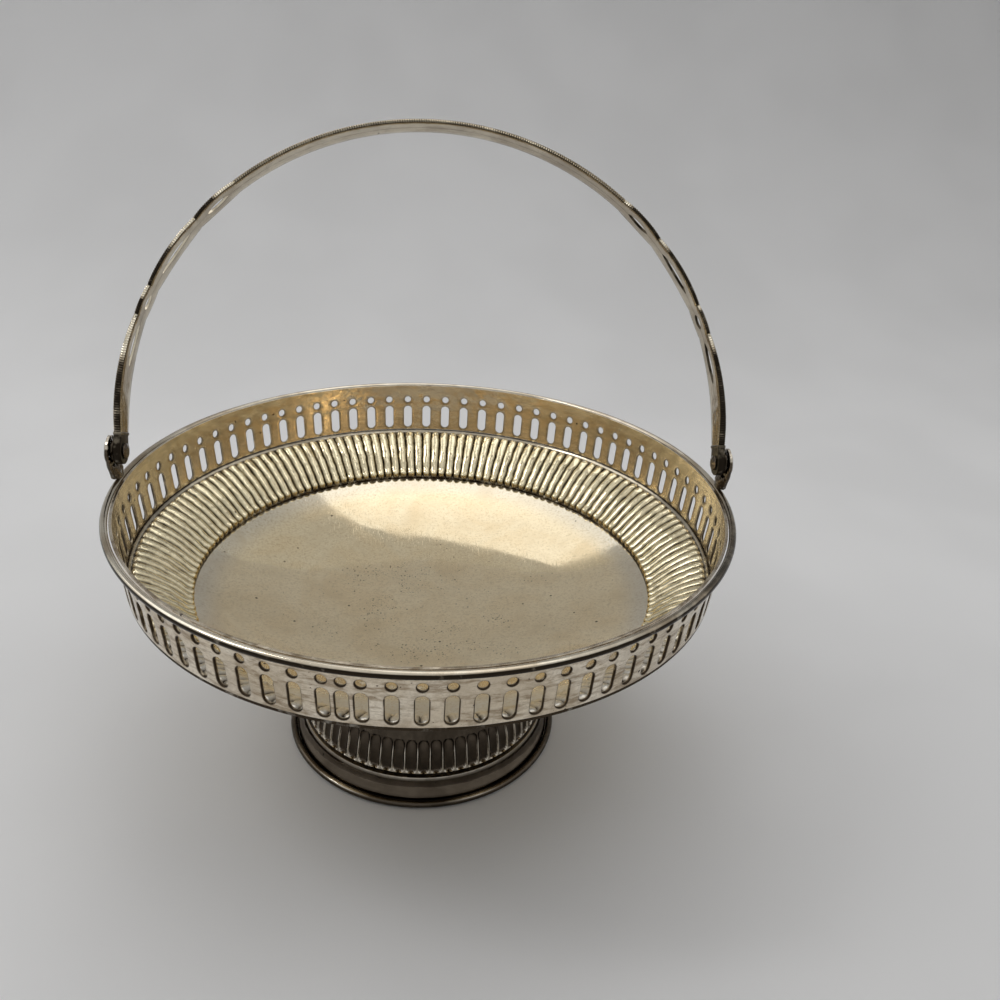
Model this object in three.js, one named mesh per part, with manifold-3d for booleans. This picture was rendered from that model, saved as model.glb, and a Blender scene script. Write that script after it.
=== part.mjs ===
// Silver-plated swing-handle basket on a pedestal foot. Millimetres, +Z up.
// The origin is the middle of the foot where it stands on the table.
// X runs along the hinge axis of the handle and +Y points to the back.
import * as THREE from 'three';
import * as BufferGeometryUtils from 'three/addons/utils/BufferGeometryUtils.js';
import Module from 'manifold-3d';

// Gaps between pieces that touch
const seatGap = 0.3;
const pinClearance = 0.3;

// Rim wire, soldered round the outside of the gallery's top edge
const rimHeight = 120;
const rimRadius = 125.2;
const rimWireRadius = 1.5;

// Pierced gallery wall
const sheet = 1.1;
const galleryHeight = 24.4;
const galleryFlare = 2.1;
const galleryRise = 0.9;
const slotCount = 80;
const slotWidth = 4.3;
const slotLength = 11.9;
const slotMiddleBelowRim = 16.3;
const holeDiameter = 3.4;
const holeMiddleBelowRim = 6.75;
const closingPitch = 3;
const closingAzimuth = -103;
const closingSlots = 3;
// The row was punched by eye, so the slots run ahead and fall back in slow waves.
const slotDrift = [
  { waves: 1, degrees: 3, phase: -67 },
  { waves: 2, degrees: 0.75, phase: -107 },
  { waves: 4, degrees: 0.55, phase: 110 },
];

// Reeded band and smooth well of the bowl
const reedCount = 160;
const reedRelief = 1.2;
const reedStartInset = 3.7;
const reedStartDrop = 1.8;
const reedBandWidth = 20.1;
const reedBandDrop = 16.7;
const reedBandBulge = 2.3;
const wellStep = 0.8;
const wellDepth = 16;
const wellFlatRadius = 35;
const wellRowShares = [0, 0.4];
const wellFineRowShares = [0.75, 1];
const reedRowShares = [0.96, 0.5, 0.06];

// Pedestal foot
const footWireRadius = 1.5;
const footRadius = 62;
const footFlangeHeight = 3.2;
const footFlangeRise = 6.9;
const footFlangeWidth = 3.4;
const footFlangeHollow = 0.6;
const footGrooveHeight = 2.4;
const footReedCount = 64;
const footReedRelief = 1.1;
const footDomeBaseRadius = 53.9;
const footDomeHeight = 30;
const footDomeTurns = [14, 40, 64, 86];
const footNeckRadius = 29;
const footNeckFlare = 3;
const footShoulderWidth = 3.5;
const footSeatWidth = 9;

// Swing handle
const pivotAboveRim = 13.5;
const handleLean = 25;
const archTopAngle = 90;
const archRise = 119.6;
const legHeight = 14.3;
const handleWeb = 1.1;
const borderWidth = 1.7;
const borderHeightAtHinge = 2.9;
const borderHeightAtTop = 1.75;
const borderTaperAngle = 22;
const plainWidth = 11;
const cuspWidth = 10.6;
const lobeFullness = 0.7;
const collarWidth = 9;
const collarAngle = -3.5;
const eyeRadius = 5.3;
const piercingWidth = 3.2;
// Each lobe runs between two cusps, in degrees round the arch from its springing,
// and the piercing inside it has its own start and end.
const lobes = [
  { from: collarAngle, to: 19, width: 13.5, pierceFrom: 9.8, pierceTo: 17.4 },
  { from: 19, to: 25, width: 12.6, pierceFrom: 20.7, pierceTo: 23.5 },
  { from: 25, to: 40, width: 13.8, pierceFrom: 28.7, pierceTo: 37 },
  { from: 40, to: 50, width: 13.6, pierceFrom: 42.9, pierceTo: 47.4 },
];

// Hinge hardware
const pinRadius = 1.5;
const pinHeadRadius = 4;
const pinHeadHeight = 1.7;
const pinHeadDome = [[0, 1], [0.6, 0.8], [1, 0.25]];
const pinTailRadius = 2.8;
const pinTailHeight = 1;
const pinTailTopShare = 0.6;
const washerRadius = 4.6;
const washerThickness = 0.8;
const earOutset = 0.2;
const earThickness = 1.8;
const earRadius = 6.4;
const earFootHalfWidth = 3.5;
const earFootInset = 1.5;
const earFootTopBelowPivot = 6.1;

// Facet counts
const wellColumns = 40;
const rimColumns = 64;
const footWireColumns = 48;
const footInnerColumns = 32;
const wireSides = 8;
const slotEndSteps = 3;
const holeSides = 6;
const piercingSteps = 3;
const roundSegments = 16;
const pinSegments = 10;
const segmentsPerLobe = 4;
const segmentsPlainHalf = 6;

const degree = Math.PI / 180;
const toSolid = await loadSolids();

// Sizes that follow from the values above
const galleryTop = rimHeight + galleryRise;
const galleryBottom = galleryTop - galleryHeight;
const galleryTopRadius = rimRadius - rimWireRadius - seatGap;
const galleryBottomRadius = galleryTopRadius - galleryFlare;
const shoulderHeight = galleryBottom - seatGap;
const reedOuterRadius = galleryBottomRadius - reedStartInset;
const reedInnerRadius = reedOuterRadius - reedBandWidth;
const wellEdgeHeight = shoulderHeight - reedStartDrop - reedBandDrop - wellStep;
const wellHeight = wellEdgeHeight - wellDepth;
const footTop = wellHeight - sheet - seatGap;
const pivotHeight = rimHeight + pivotAboveRim;
const earX = rimRadius + earOutset;
const washerX = earX - seatGap - washerThickness;
const handleEyeOuterX = washerX - seatGap;
const archHalfSpan = handleEyeOuterX - borderHeightAtHinge;
const boreRadius = pinRadius + pinClearance;

const plate = { color: 0x9b917f, metalness: 1, roughness: 0.28 };
const wornPlate = { color: 0x857d70, metalness: 1, roughness: 0.35 };
const darkPlate = { color: 0x5c564e, metalness: 1, roughness: 0.4 };

async function loadSolids() {
  const wasm = await Module();
  wasm.setup();
  return (geometry) => {
    const bare = geometry.clone();
    bare.deleteAttribute('normal');
    bare.deleteAttribute('uv');
    const merged = BufferGeometryUtils.mergeVertices(bare, 1e-4);
    return new wasm.Manifold(new wasm.Mesh({
      numProp: 3,
      vertProperties: new Float32Array(merged.attributes.position.array),
      triVerts: new Uint32Array(merged.index.array),
    }));
  };
}

function fromSolid(solid) {
  const result = solid.getMesh();
  const geometry = new THREE.BufferGeometry();
  geometry.setAttribute('position', new THREE.BufferAttribute(result.vertProperties, 3));
  geometry.setIndex(new THREE.BufferAttribute(result.triVerts, 1));
  return geometry;
}

function piece(name, geometry, look) {
  const mesh = new THREE.Mesh(geometry, new THREE.MeshStandardMaterial(look));
  mesh.name = name;
  return mesh;
}

function indexed(points, faces) {
  const geometry = new THREE.BufferGeometry();
  geometry.setAttribute('position', new THREE.Float32BufferAttribute(points.flat(), 3));
  geometry.setIndex(faces.flat());
  return BufferGeometryUtils.mergeVertices(geometry, 1e-4);
}

// A ring is { columns, at } where at(column) gives [radius, height].
function plainRing(columns, radius, height) {
  return { columns, at: () => [radius, height] };
}

// Faces between two neighbouring rings, also where one has a whole number of
// columns for each column of the other.
function joinRings(a, b, faces) {
  const aAt = (i) => a.start + (i % a.columns);
  const bAt = (i) => b.start + (i % b.columns);
  if (a.columns === b.columns) {
    for (let i = 0; i < a.columns; i++) {
      faces.push([aAt(i), bAt(i), bAt(i + 1)], [aAt(i), bAt(i + 1), aAt(i + 1)]);
    }
    return;
  }
  const fineFirst = a.columns > b.columns;
  const ratio = fineFirst ? a.columns / b.columns : b.columns / a.columns;
  const half = Math.floor(ratio / 2);
  for (let j = 0; j < Math.min(a.columns, b.columns); j++) {
    for (let m = 0; m < ratio; m++) {
      const side = m < half ? j : j + 1;
      const k = j * ratio + m;
      faces.push(fineFirst ? [aAt(k), bAt(side), aAt(k + 1)] : [aAt(side), bAt(k), bAt(k + 1)]);
    }
    const middle = j * ratio + half;
    faces.push(fineFirst ? [aAt(middle), bAt(j), bAt(j + 1)] : [aAt(j), bAt(middle), aAt(j + 1)]);
  }
}

// A body of revolution from rings in order over the top, down the outside and
// back underneath. It closes on itself, or on the axis at two given heights.
function ringBody(rings, axisHeights) {
  const points = [];
  const faces = [];
  for (const ring of rings) {
    ring.start = points.length;
    for (let i = 0; i < ring.columns; i++) {
      const angle = (i / ring.columns) * 2 * Math.PI;
      const [radius, height] = ring.at(i);
      points.push([radius * Math.cos(angle), radius * Math.sin(angle), height]);
    }
  }
  rings.slice(1).forEach((ring, i) => joinRings(rings[i], ring, faces));
  const first = rings[0];
  const last = rings[rings.length - 1];
  if (!axisHeights) {
    joinRings(last, first, faces);
    return indexed(points, faces);
  }
  const top = points.push([0, 0, axisHeights[0]]) - 1;
  const bottom = points.push([0, 0, axisHeights[1]]) - 1;
  for (let i = 0; i < first.columns; i++) {
    faces.push([top, first.start + i, first.start + ((i + 1) % first.columns)]);
  }
  for (let i = 0; i < last.columns; i++) {
    faces.push([last.start + i, bottom, last.start + ((i + 1) % last.columns)]);
  }
  return indexed(points, faces);
}

// Moves a profile sideways by a distance, to its left where that is positive.
function offsetProfile(profile, distance) {
  const normal = (a, b) => {
    const length = Math.hypot(b[0] - a[0], b[1] - a[1]);
    return [-(b[1] - a[1]) / length, (b[0] - a[0]) / length];
  };
  return profile.map((point, i) => {
    const before = normal(profile[Math.max(i - 1, 0)], profile[Math.max(i, 1)]);
    const last = profile.length - 1;
    const after = normal(profile[Math.min(i, last - 1)], profile[Math.min(i + 1, last)]);
    const scale = distance / (1 + before[0] * after[0] + before[1] * after[1]);
    return [point[0] + (before[0] + after[0]) * scale, point[1] + (before[1] + after[1]) * scale];
  });
}

// A ring of reeds: even columns lie in the valleys and odd ones on the crests.
function reedRing(count, valley, crest) {
  return { columns: count * 2, at: (i) => (i % 2 ? crest : valley) };
}

function wireRing(name, { radius, wireRadius, height, columns }, look) {
  const rings = [];
  for (let side = 0; side < wireSides; side++) {
    const angle = (0.5 - (side + 0.5) / wireSides) * 2 * Math.PI;
    const r = radius + wireRadius * Math.cos(angle);
    rings.push(plainRing(columns, r, height + wireRadius * Math.sin(angle)));
  }
  return piece(name, ringBody(rings), look);
}

// Azimuths of the gallery slots. A few were punched closer together where the row
// came round to its start.
function slotAngles() {
  const closeGaps = closingSlots - 1;
  const pitch = (360 - closeGaps * closingPitch) / (slotCount - closeGaps);
  const angles = [];
  let angle = closingAzimuth - (closeGaps / 2) * closingPitch;
  for (let i = 0; i < slotCount; i++) {
    const turn = (i / slotCount) * 2 * Math.PI;
    const drift = slotDrift.map(({ waves, degrees, phase }) => (
      degrees * Math.cos(waves * turn - phase * degree)));
    angles.push((angle + drift.reduce((sum, part) => sum + part)) * degree);
    angle += i < closeGaps ? closingPitch : pitch;
  }
  return angles;
}

function slotLoop(length, width, middle) {
  const radius = width / 2;
  const straight = (length - width) / 2;
  const loop = [];
  for (const end of [1, -1]) {
    for (let i = 0; i <= slotEndSteps; i++) {
      const turn = (Math.PI * i) / slotEndSteps;
      loop.push([end * radius * Math.cos(turn), middle + end * (straight + radius * Math.sin(turn))]);
    }
  }
  return loop;
}

function holeLoop(diameter, middle) {
  return Array.from({ length: holeSides }, (_, i) => {
    const turn = (2 * Math.PI * i) / holeSides;
    return [(diameter / 2) * Math.sin(turn), middle + (diameter / 2) * Math.cos(turn)];
  });
}

function clockwise(loop) {
  const vectors = loop.map(([x, y]) => new THREE.Vector2(x, y));
  return THREE.ShapeUtils.isClockWise(vectors) ? vectors : vectors.reverse();
}

// The gallery wall as one cell for each slot, bent to the taper of the wall.
// A cell reaches half-way to the slots beside it.
function makeGallery() {
  const centres = slotAngles();
  const borders = centres.map((angle, i) => {
    const before = i === 0 ? centres[slotCount - 1] - 2 * Math.PI : centres[i - 1];
    return (before + angle) / 2;
  });
  const middleRadius = galleryTopRadius - galleryFlare / 2;
  const points = [];
  const faces = [];
  const addPoint = (angle, height, inward) => {
    const radius = galleryBottomRadius + (galleryFlare * height) / galleryHeight - inward;
    const x = radius * Math.cos(angle);
    return points.push([x, radius * Math.sin(angle), galleryBottom + height]) - 1;
  };
  const slotMiddle = galleryHeight - galleryRise - slotMiddleBelowRim;
  const holeMiddle = galleryHeight - galleryRise - holeMiddleBelowRim;
  const holes = [
    clockwise(slotLoop(slotLength, slotWidth, slotMiddle)),
    clockwise(holeLoop(holeDiameter, holeMiddle)),
  ];
  centres.forEach((centre, i) => {
    const left = borders[i];
    const right = borders[(i + 1) % slotCount];
    const turnAtEnd = i === slotCount - 1 ? 2 * Math.PI : 0;
    const across = [left - centre, right + turnAtEnd - centre].map((angle) => angle * middleRadius);
    const outline = [[0, 0], [1, 0], [1, galleryHeight], [0, galleryHeight]]
      .map(([side, height]) => new THREE.Vector2(across[side], height));
    const flat = [outline, ...holes].flat();
    const angles = flat.map((p) => centre + p.x / middleRadius);
    angles.splice(0, outline.length, left, right, right, left);
    const outside = flat.map((p, k) => addPoint(angles[k], p.y, 0));
    const inside = flat.map((p, k) => addPoint(angles[k], p.y, sheet));
    for (const [a, b, c] of THREE.ShapeUtils.triangulateShape(outline, holes)) {
      faces.push([outside[a], outside[b], outside[c]], [inside[a], inside[c], inside[b]]);
    }
    const wall = (a, b) => {
      faces.push([outside[a], inside[a], inside[b]], [outside[a], inside[b], outside[b]]);
    };
    wall(0, 1);
    wall(2, 3);
    let start = outline.length;
    for (const loop of holes) {
      loop.forEach((_, k) => wall(start + k, start + ((k + 1) % loop.length)));
      start += loop.length;
    }
  });
  return piece('gallery', indexed(points, faces), plate);
}

// Height of the reeded band's valleys at a share of its width, from its outer end.
function reedBandPoint(share) {
  const height = shoulderHeight - reedStartDrop - reedBandDrop * share;
  return [reedOuterRadius - reedBandWidth * share, height + 4 * reedBandBulge * share * (1 - share)];
}

function makeBowl() {
  const wellPoint = (share) => {
    const radius = wellFlatRadius + (reedInnerRadius - wellFlatRadius) * share;
    return [radius, wellHeight + wellDepth * share * share];
  };
  const rows = [
    ...wellRowShares.map((share) => ({ point: wellPoint(share), columns: wellColumns })),
    ...wellFineRowShares.map((share) => ({ point: wellPoint(share), columns: slotCount })),
    ...reedRowShares.map((share) => ({ point: reedBandPoint(share), reeded: true })),
    { point: reedBandPoint(0), columns: slotCount },
    { point: [reedOuterRadius + reedStartDrop, shoulderHeight], columns: slotCount },
    { point: [galleryBottomRadius, shoulderHeight], columns: slotCount },
  ];
  const upper = rows.map((row) => row.point);
  const crest = offsetProfile(upper, reedRelief);
  const under = offsetProfile(upper, -sheet);
  const top = rows.map((row, i) => (row.reeded
    ? reedRing(reedCount, row.point, crest[i])
    : plainRing(row.columns, ...row.point)));
  const bottom = under.map((point) => plainRing(wellColumns, ...point));
  const geometry = ringBody([...top, ...bottom.reverse()], [wellHeight, wellHeight - sheet]);
  return piece('bowl', geometry, plate);
}

function makeFoot() {
  const skirtRadius = footRadius - 2 * footWireRadius - seatGap;
  const flangeTop = footFlangeHeight + footFlangeRise;
  const domeBase = flangeTop + footGrooveHeight;
  const domeTopRadius = footNeckRadius + footShoulderWidth;
  const domePoint = (turn) => [
    domeTopRadius + (footDomeBaseRadius - domeTopRadius) * Math.sin(turn * degree),
    domeBase + footDomeHeight * Math.cos(turn * degree),
  ];
  const seatOuter = footNeckRadius + footNeckFlare;
  const neckMiddle = (footTop + domeBase + footDomeHeight) / 2;
  const rows = [
    { point: [seatOuter - footSeatWidth, footTop], neck: true },
    { point: [seatOuter, footTop], neck: true },
    { point: [footNeckRadius, neckMiddle], neck: true },
    { point: [footNeckRadius, domeBase + footDomeHeight], neck: true },
    { point: domePoint(0) },
    ...footDomeTurns.map((turn) => ({ point: domePoint(turn), reeded: true })),
    { point: [footDomeBaseRadius, domeBase] },
    { point: [footDomeBaseRadius, flangeTop + footGrooveHeight / 2] },
    { point: [skirtRadius - footFlangeWidth, flangeTop] },
    { point: [skirtRadius - footFlangeWidth / 2 - footFlangeHollow, (flangeTop + footFlangeHeight) / 2] },
    { point: [skirtRadius, footFlangeHeight] },
    { point: [skirtRadius, seatGap] },
  ];
  const outside = rows.map((row) => row.point);
  const crest = offsetProfile(outside, footReedRelief);
  const inside = offsetProfile(outside, -sheet);
  const outer = rows.map((row, i) => (row.reeded
    ? reedRing(footReedCount, row.point, crest[i])
    : plainRing(row.neck ? footInnerColumns : footReedCount, ...row.point)));
  const inner = inside.map((point) => plainRing(footInnerColumns, ...point));
  return piece('foot', ringBody([...outer, ...inner.reverse()]), darkPlate);
}

// Width of the handle strip at an angle round the arch.
function stripWidth(angle) {
  const lobe = lobes.find(({ from, to }) => angle >= from && angle <= to);
  if (angle < collarAngle) return collarWidth;
  if (!lobe) return plainWidth;
  const share = (angle - lobe.from) / (lobe.to - lobe.from);
  const startWidth = lobe.from === collarAngle ? collarWidth : cuspWidth;
  const base = startWidth + (cuspWidth - startWidth) * share;
  return base + (lobe.width - cuspWidth) * Math.sin(Math.PI * share) ** lobeFullness;
}

function borderHeight(angle) {
  const share = Math.min(Math.max(angle / borderTaperAngle, 0), 1);
  return borderHeightAtHinge + (borderHeightAtTop - borderHeightAtHinge) * share;
}

// A point on the inner face's middle line, with the outward normal there, in the
// handle's own plane: across the arch and up from the hinge axis.
function archPoint(angle) {
  if (angle < 0) {
    return { across: archHalfSpan, up: legHeight + angle * degree * archHalfSpan, normal: [1, 0] };
  }
  const across = archHalfSpan * Math.cos(angle * degree);
  const up = legHeight + archRise * Math.sin(angle * degree);
  const slope = [Math.cos(angle * degree) / archHalfSpan, Math.sin(angle * degree) / archRise];
  const length = Math.hypot(...slope);
  return { across, up, normal: [slope[0] / length, slope[1] / length] };
}

// Angles of the handle's sections, from the hinge to the top.
function archStations() {
  const hingeAngle = -legHeight / (archHalfSpan * degree);
  const angles = [hingeAngle];
  for (const { from, to } of lobes) {
    for (let i = 0; i < segmentsPerLobe; i++) angles.push(from + ((to - from) * i) / segmentsPerLobe);
  }
  const plainStart = lobes[lobes.length - 1].to;
  for (let i = 0; i <= segmentsPlainHalf; i++) {
    angles.push(plainStart + ((archTopAngle - plainStart) * i) / segmentsPlainHalf);
  }
  return angles;
}

// The lobed strip: flat inside, with a raised border along both edges outside.
function stripGeometry() {
  const half = archStations();
  const sides = [
    ...half.map((angle) => ({ angle, side: -1 })),
    ...half.slice(0, -1).reverse().map((angle) => ({ angle, side: 1 })),
  ];
  const points = [];
  const faces = [];
  const perSection = 8;
  for (const { angle, side } of sides) {
    const { across, up, normal } = archPoint(angle);
    const w = stripWidth(angle) / 2;
    const b = borderHeight(angle);
    const channel = w - borderWidth;
    const section = [
      [-w, 0], [w, 0], [w, b], [channel, b],
      [channel, handleWeb], [-channel, handleWeb], [-channel, b], [-w, b],
    ];
    for (const [y, out] of section) {
      points.push([side * (across + normal[0] * out), y, up + normal[1] * out]);
    }
  }
  for (let s = 0; s + 1 < sides.length; s++) {
    for (let k = 0; k < perSection; k++) {
      const a = s * perSection + k;
      const b = s * perSection + ((k + 1) % perSection);
      faces.push([a, b, b + perSection], [a, b + perSection, a + perSection]);
    }
  }
  const last = (sides.length - 1) * perSection;
  const caps = [[0, 1, 4], [0, 4, 5], [1, 2, 3], [1, 3, 4], [0, 5, 6], [0, 6, 7]];
  for (const [a, b, c] of caps) {
    faces.push([a, c, b], [last + a, last + b, last + c]);
  }
  return indexed(points, faces);
}

// A round about the hinge axis, from one X to another.
function roundAlongX(radius, fromX, toX, segments) {
  const geometry = new THREE.CylinderGeometry(radius, radius, Math.abs(toX - fromX), segments);
  geometry.rotateZ(Math.PI / 2);
  return geometry.translate((fromX + toX) / 2, 0, 0);
}

function piercingGeometry(lobe, side) {
  const middle = (lobe.pierceFrom + lobe.pierceTo) / 2;
  const { across, up, normal } = archPoint(middle);
  const length = (lobe.pierceTo - lobe.pierceFrom) * degree * archHalfSpan;
  const radius = piercingWidth / 2;
  const straight = length / 2 - radius;
  const shape = new THREE.Shape();
  shape.absarc(straight, 0, radius, -Math.PI / 2, Math.PI / 2);
  shape.absarc(-straight, 0, radius, Math.PI / 2, 1.5 * Math.PI);
  const depth = 2 * borderHeightAtHinge;
  const settings = { depth, bevelEnabled: false, curveSegments: piercingSteps };
  const prism = new THREE.ExtrudeGeometry(shape, settings);
  const out = new THREE.Vector3(side * normal[0], 0, normal[1]);
  const along = new THREE.Vector3(-normal[1] * side, 0, normal[0]);
  const sideways = new THREE.Vector3().crossVectors(out, along);
  const place = new THREE.Matrix4().makeBasis(along, sideways, out);
  place.setPosition(side * across - (out.x * depth) / 2, 0, up - (out.z * depth) / 2);
  return prism.applyMatrix4(place);
}

// The eye round the pin and the plain neck above it, up to the collar.
function hingeEnd(side) {
  const eye = roundAlongX(eyeRadius, side * archHalfSpan, side * handleEyeOuterX, roundSegments);
  const neckHeight = legHeight + collarAngle * degree * archHalfSpan;
  const neck = new THREE.BoxGeometry(borderHeightAtHinge, collarWidth, neckHeight);
  neck.translate((side * (archHalfSpan + handleEyeOuterX)) / 2, 0, neckHeight / 2);
  return toSolid(eye).add(toSolid(neck));
}

function makeHandle() {
  let solid = toSolid(stripGeometry());
  for (const side of [-1, 1]) {
    solid = solid.add(hingeEnd(side));
    const inner = side * (archHalfSpan - sheet);
    const outer = side * (handleEyeOuterX + sheet);
    solid = solid.subtract(toSolid(roundAlongX(boreRadius, inner, outer, pinSegments)));
    for (const lobe of lobes) solid = solid.subtract(toSolid(piercingGeometry(lobe, side)));
  }
  const handle = piece('handle', fromSolid(solid), wornPlate);
  handle.rotation.x = -handleLean * degree;
  handle.position.z = pivotHeight;
  return handle;
}

// A ring or a solid round about the hinge axis, from a profile of [radius, x].
function turnedAlongX(profile, side) {
  const points = profile.map(([radius, x]) => new THREE.Vector2(radius, x));
  const geometry = new THREE.LatheGeometry(points, pinSegments);
  geometry.rotateZ(-Math.PI / 2);
  if (side < 0) geometry.rotateZ(Math.PI);
  return geometry.translate(0, 0, pivotHeight);
}

function makeRivet(name, side) {
  const headX = archHalfSpan - seatGap;
  const tailX = earX + earThickness + seatGap;
  const profile = [
    ...pinHeadDome.map(([out, up]) => [pinHeadRadius * out, headX - pinHeadHeight * up]),
    [pinHeadRadius, headX],
    [pinRadius, headX],
    [pinRadius, tailX],
    [pinTailRadius, tailX],
    [pinTailRadius * pinTailTopShare, tailX + pinTailHeight],
    [0, tailX + pinTailHeight],
  ];
  return piece(name, turnedAlongX(profile, side), wornPlate);
}

function makeWasher(name, side) {
  const outerX = washerX + washerThickness;
  const profile = [
    [boreRadius, washerX],
    [washerRadius, washerX],
    [washerRadius, outerX],
    [boreRadius, outerX],
    [boreRadius, washerX],
  ];
  return piece(name, turnedAlongX(profile, side), darkPlate);
}

// A leaf-shaped ear that stands on the rim wire, round at the top about the hinge.
// Below the handle's eye it is deeper, to reach over the wire.
function makeEar(name, side) {
  const footHeight = rimWireRadius * Math.cos(Math.PI / wireSides) + seatGap;
  const footUp = footHeight - pivotAboveRim;
  const toFoot = Math.hypot(footUp, earFootHalfWidth);
  const tangent = Math.atan2(footUp, earFootHalfWidth) + Math.acos(earRadius / toFoot);
  const shape = new THREE.Shape();
  shape.moveTo(earFootHalfWidth, footUp);
  shape.absarc(0, 0, earRadius, tangent, Math.PI - tangent);
  shape.lineTo(-earFootHalfWidth, footUp);
  shape.closePath();
  const slab = (innerX) => {
    const depth = earX + earThickness - innerX;
    const settings = { depth, bevelEnabled: false, curveSegments: roundSegments / 2 };
    const geometry = new THREE.ExtrudeGeometry(shape, settings);
    geometry.rotateX(Math.PI / 2);
    geometry.rotateZ(Math.PI / 2);
    return toSolid(geometry.translate(side > 0 ? innerX : -innerX - depth, 0, 0));
  };
  const innerX = earX - earFootInset;
  const span = 2 * earRadius;
  const below = new THREE.BoxGeometry(span, span, span);
  below.translate(side * earX, 0, -earFootTopBelowPivot - span / 2);
  const bore = roundAlongX(boreRadius, side * (earX - sheet), side * (earX + earThickness + sheet), pinSegments);
  const solid = slab(earX).subtract(toSolid(bore)).add(slab(innerX).intersect(toSolid(below)));
  const ear = piece(name, fromSolid(solid), darkPlate);
  ear.position.z = pivotHeight;
  return ear;
}

const basket = new THREE.Group();
basket.add(makeBowl());
basket.add(makeGallery());
basket.add(wireRing('rim_wire', {
  radius: rimRadius,
  wireRadius: rimWireRadius,
  height: rimHeight,
  columns: rimColumns,
}, plate));
basket.add(makeFoot());
basket.add(wireRing('foot_wire', {
  radius: footRadius - footWireRadius,
  wireRadius: footWireRadius,
  height: footWireRadius * Math.cos(Math.PI / wireSides),
  columns: footWireColumns,
}, darkPlate));
basket.add(makeHandle());
for (const [word, side] of [['left', -1], ['right', 1]]) {
  basket.add(makeEar(`ear_${word}`, side));
  basket.add(makeRivet(`rivet_${word}`, side));
  basket.add(makeWasher(`washer_${word}`, side));
}

export default basket;
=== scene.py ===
# Silver-plated swing-handle basket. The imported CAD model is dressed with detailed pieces.
# Sizes in the dictionaries are in millimetres and degrees unless a note says otherwise.
import math

import bmesh
import bpy
import numpy as np
from mathutils import Matrix, Vector
from mathutils.geometry import delaunay_2d_cdt


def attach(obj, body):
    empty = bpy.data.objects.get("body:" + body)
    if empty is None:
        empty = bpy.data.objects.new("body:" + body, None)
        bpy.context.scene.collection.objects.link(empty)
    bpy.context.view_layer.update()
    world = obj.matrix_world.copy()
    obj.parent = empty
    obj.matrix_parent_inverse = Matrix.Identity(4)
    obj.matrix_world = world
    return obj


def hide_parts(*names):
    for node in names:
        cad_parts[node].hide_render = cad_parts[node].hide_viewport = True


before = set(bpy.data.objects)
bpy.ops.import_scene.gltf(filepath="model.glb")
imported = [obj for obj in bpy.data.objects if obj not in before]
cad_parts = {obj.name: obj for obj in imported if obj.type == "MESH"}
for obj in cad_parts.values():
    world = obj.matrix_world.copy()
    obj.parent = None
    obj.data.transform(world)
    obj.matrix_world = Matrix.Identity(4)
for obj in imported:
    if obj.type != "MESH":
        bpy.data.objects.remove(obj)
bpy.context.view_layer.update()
mm = 0.001
tau = 2 * math.pi
sheet = 1.1  # thickness of the worked metal


# Camera, at the place fitted to the rim, gallery, flutes and foot of the photograph
cameraSizes = {
    "place": (-3.7, -329.7, 281.8),
    "turn": 5.94,  # to the right of +Y
    "dip": 26.82,  # below the horizon
    "roll": 3.6,
    "lens": 31.42,  # on a 36 mm sensor
}


def makeCamera():
    turn, dip, roll = (math.radians(cameraSizes[k]) for k in ("turn", "dip", "roll"))
    ahead = Vector((math.sin(turn) * math.cos(dip), math.cos(turn) * math.cos(dip), -math.sin(dip)))
    level = Vector((math.cos(turn), -math.sin(turn), 0))
    above = level.cross(ahead)
    right = level * math.cos(roll) + above * math.sin(roll)
    top = above * math.cos(roll) - level * math.sin(roll)
    place = Matrix((right, top, -ahead)).transposed().to_4x4()
    place.translation = Vector(cameraSizes["place"]) * mm
    camera = bpy.data.objects.new("camera", bpy.data.cameras.new("camera"))
    camera.data.lens = cameraSizes["lens"]
    camera.matrix_world = place
    bpy.context.scene.collection.objects.link(camera)
    bpy.context.scene.camera = camera


makeCamera()
print("camera placed")


# Node helpers, for shader and geometry trees alike
def addNode(tree, kind, inputs=None, **settings):
    node = tree.nodes.new(kind)
    for key, value in settings.items():
        setattr(node, key, value)
    for key, value in (inputs or {}).items():
        if isinstance(value, bpy.types.NodeSocket):
            tree.links.new(value, node.inputs[key])
        else:
            node.inputs[key].default_value = value
    return node


signs = {"+": "ADD", "-": "SUBTRACT", "*": "MULTIPLY", "/": "DIVIDE", "max": "MAXIMUM", "min": "MINIMUM"}


def calc(tree, sign, *values):
    operation = signs.get(sign, sign)
    return addNode(tree, "ShaderNodeMath", dict(enumerate(values)), operation=operation).outputs[0]


def calcVector(tree, operation, first, other):
    inputs = {0: first, "Scale" if operation == "SCALE" else 1: other}
    return addNode(tree, "ShaderNodeVectorMath", inputs, operation=operation).outputs[0]


# Values stored on a mesh's points
def pointValues(tree, *labels):
    nodes = [addNode(tree, "GeometryNodeInputNamedAttribute", {"Name": label}) for label in labels]
    return [node.outputs["Attribute"] for node in nodes]


def newTree(name, sizes):
    tree = bpy.data.node_groups.new(name, "GeometryNodeTree")
    kinds = {int: "NodeSocketInt", float: "NodeSocketFloat", bpy.types.Object: "NodeSocketObject"}
    tree.interface.new_socket("Mesh", in_out="INPUT", socket_type="NodeSocketGeometry")
    for label, value in sizes.items():
        tree.interface.new_socket(label, in_out="INPUT", socket_type=kinds[type(value)])
    tree.interface.new_socket("Finish", in_out="INPUT", socket_type="NodeSocketMaterial")
    tree.interface.new_socket("Mesh", in_out="OUTPUT", socket_type="NodeSocketGeometry")
    return tree, tree.nodes.new("NodeGroupInput").outputs


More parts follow.
